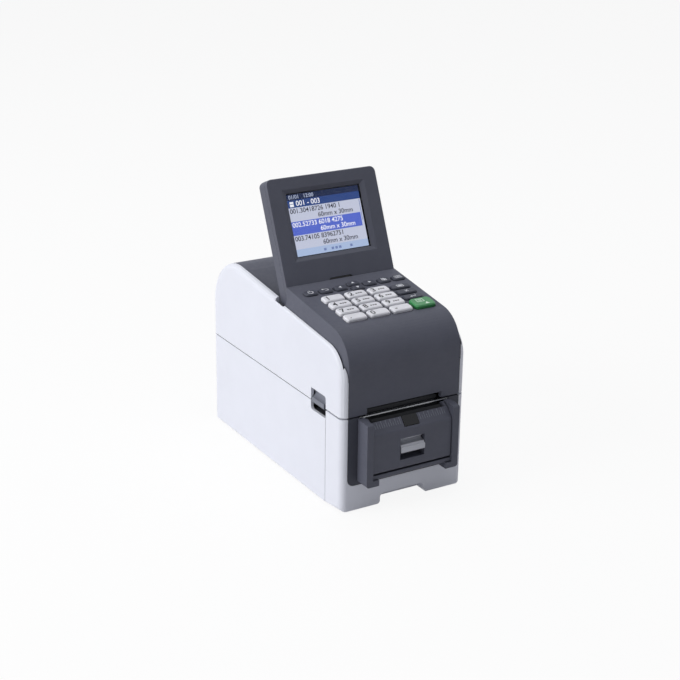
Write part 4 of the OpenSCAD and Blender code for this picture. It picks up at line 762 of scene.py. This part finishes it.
openings = {opening["name"]: opening["box_m"] for opening in frame["record"]["physics"]["openings"]}
socket_points = corners("data_sockets", REAR)
tongue_end = max(point.z for point in socket_points) - TONGUE_SINK
skins, contacts = [], []
for name, count in CONTACTS.items():
    low, high = openings[name]
    middle_x, reach = -(low[0] + high[0]) / 2 / MM, (high[0] - low[0]) * TONGUE_SHARE / MM
    tongue_low, tongue_high = box_round(
        point
        for point in socket_points
        if abs(point.x - middle_x) < reach and abs(point.z - tongue_end) < TONGUE_LEVEL
    )
    left, right = tongue_low.x, tongue_high.x
    foot, top = tongue_low.y, tongue_high.y
    skins.append(box_outline(left - TONGUE_SKIN, foot - TONGUE_SKIN, right + TONGUE_SKIN, top + TONGUE_SKIN))
    for i in range(count):
        x = left + (right - left) * (i + 0.5) / count
        contacts.append(
            box_outline(x - CONTACT_W / 2, foot - CONTACT_RISE, x + CONTACT_W / 2, top + CONTACT_RISE)
        )
tongue_place = spot(REAR, 0, 0, tongue_end)
printed(
    "socket_tongues", skins, tongue_place, inks["black"], "base", TONGUE_SKIN - TONGUE_LENGTH, TONGUE_LENGTH
)
printed(
    "socket_contacts", contacts, tongue_place, materials["contact_gold"], "base",
    -CONTACT_SINK - CONTACT_LENGTH, CONTACT_LENGTH,
)


# ---- camera ----

# Its place in metres, and its turn about z, its dip and its roll in degrees
CAMERA_AT = Vector((-0.5893, -0.9834, 0.5351))
CAMERA_TURN, CAMERA_DIP, CAMERA_ROLL = (math.radians(a) for a in (-31.01, 20.87, 0.75))
CAMERA_VIEW = math.radians(24.96)

level = Vector((math.cos(CAMERA_TURN), math.sin(CAMERA_TURN), 0))
forward = Vector((-level.y, level.x, 0))
back = Vector((0, 0, 1)) * math.sin(CAMERA_DIP) - forward * math.cos(CAMERA_DIP)
upright = back.cross(level)
right = level * math.cos(CAMERA_ROLL) + upright * math.sin(CAMERA_ROLL)
above = upright * math.cos(CAMERA_ROLL) - level * math.sin(CAMERA_ROLL)
camera = bpy.data.objects.new("camera", bpy.data.cameras.new("camera"))
camera.data.angle = CAMERA_VIEW
camera.matrix_world = Matrix.Translation(CAMERA_AT) @ Matrix((right, above, back)).transposed().to_4x4()
bpy.context.scene.collection.objects.link(camera)
bpy.context.scene.camera = camera


# ---- floor, surroundings and lamps, in metres and watts ----

FLOOR_SIZE, FLOOR_PARTS = 8.0, 4
# Share of plain white over the floor where it is looked at; the rest keeps the shadow
FLOOR_WHITE = 0.9
WHITE = (1, 1, 1, 1)
WORLD_COLOUR, WORLD_LIGHT = (0.93, 0.95, 1.0, 1), 0.22
LAMPS = {
    "key_left": dict(at=(-2.0, 0.25, 0.85), width=1.5, height=1.3, watts=32),
    "top_soft": dict(at=(0.0, 0.1, 1.9), width=1.4, height=1.4, watts=14),
}


def seen(tree):
    """1 where the camera, a gloss or a glass looks, and 0 for the light that falls on the object."""
    path = add(tree, "ShaderNodeLightPath").outputs
    camera_or_gloss = maths(tree, "ADD", path["Is Camera Ray"], path["Is Glossy Ray"])
    return maths(tree, "ADD", camera_or_gloss, path["Is Transmission Ray"])


def whiten(material, share):
    """Puts that share of plain white over a surface where it is looked at."""
    tree = material.node_tree
    shader, output = tree.nodes["Principled BSDF"], tree.nodes["Material Output"]
    part = maths(tree, "MULTIPLY", seen(tree), share)
    white = add(tree, "ShaderNodeEmission", Color=WHITE, Strength=1.0)
    both = add(tree, "ShaderNodeMixShader")
    link(tree, part, both.inputs["Fac"])
    link(tree, shader.outputs["BSDF"], both.inputs[1])
    link(tree, white.outputs["Emission"], both.inputs[2])
    link(tree, both.outputs["Shader"], output.inputs["Surface"])
    painted = shader.inputs["Base Color"]
    link(tree, mixed(tree, part, painted.links[0].from_socket, WHITE), painted)


def softbox(name, at, aim, width, height, watts):
    """A rectangular lamp that faces the point it is aimed at."""
    lamp = bpy.data.lights.new(name, "AREA")
    lamp.shape, lamp.size, lamp.size_y, lamp.energy = "RECTANGLE", width, height, watts
    holder = bpy.data.objects.new(name, lamp)
    holder.location = at
    holder.rotation_mode = "QUATERNION"
    holder.rotation_quaternion = (aim - Vector(at)).to_track_quat("-Z", "Y")
    bpy.context.scene.collection.objects.link(holder)


whiten(materials["floor_paint"], FLOOR_WHITE)
ground = bmesh.new()
bmesh.ops.create_grid(ground, x_segments=FLOOR_PARTS, y_segments=FLOOR_PARTS, size=FLOOR_SIZE / 2)
floor_mesh = bpy.data.meshes.new("floor")
ground.to_mesh(floor_mesh)
ground.free()
floor_mesh.materials.append(materials["floor_paint"])
floor = bpy.data.objects.new("floor", floor_mesh)
floor.location.z = cad_low.z
bpy.context.scene.collection.objects.link(floor)

world = bpy.data.worlds.new("studio")
bpy.context.scene.world = world
world.use_nodes = True
sky = world.node_tree.nodes["Background"]
sky.inputs["Color"].default_value = WORLD_COLOUR
brightness = ranged(world.node_tree, seen(world.node_tree), (0.0, 1.0), (WORLD_LIGHT, 1.0))
link(world.node_tree, brightness, sky.inputs["Strength"])

middle = (cad_low + cad_high) / 2
for name, lamp in LAMPS.items():
    softbox(name, aim=middle, **lamp)

bpy.context.scene.view_settings.view_transform = "Standard"
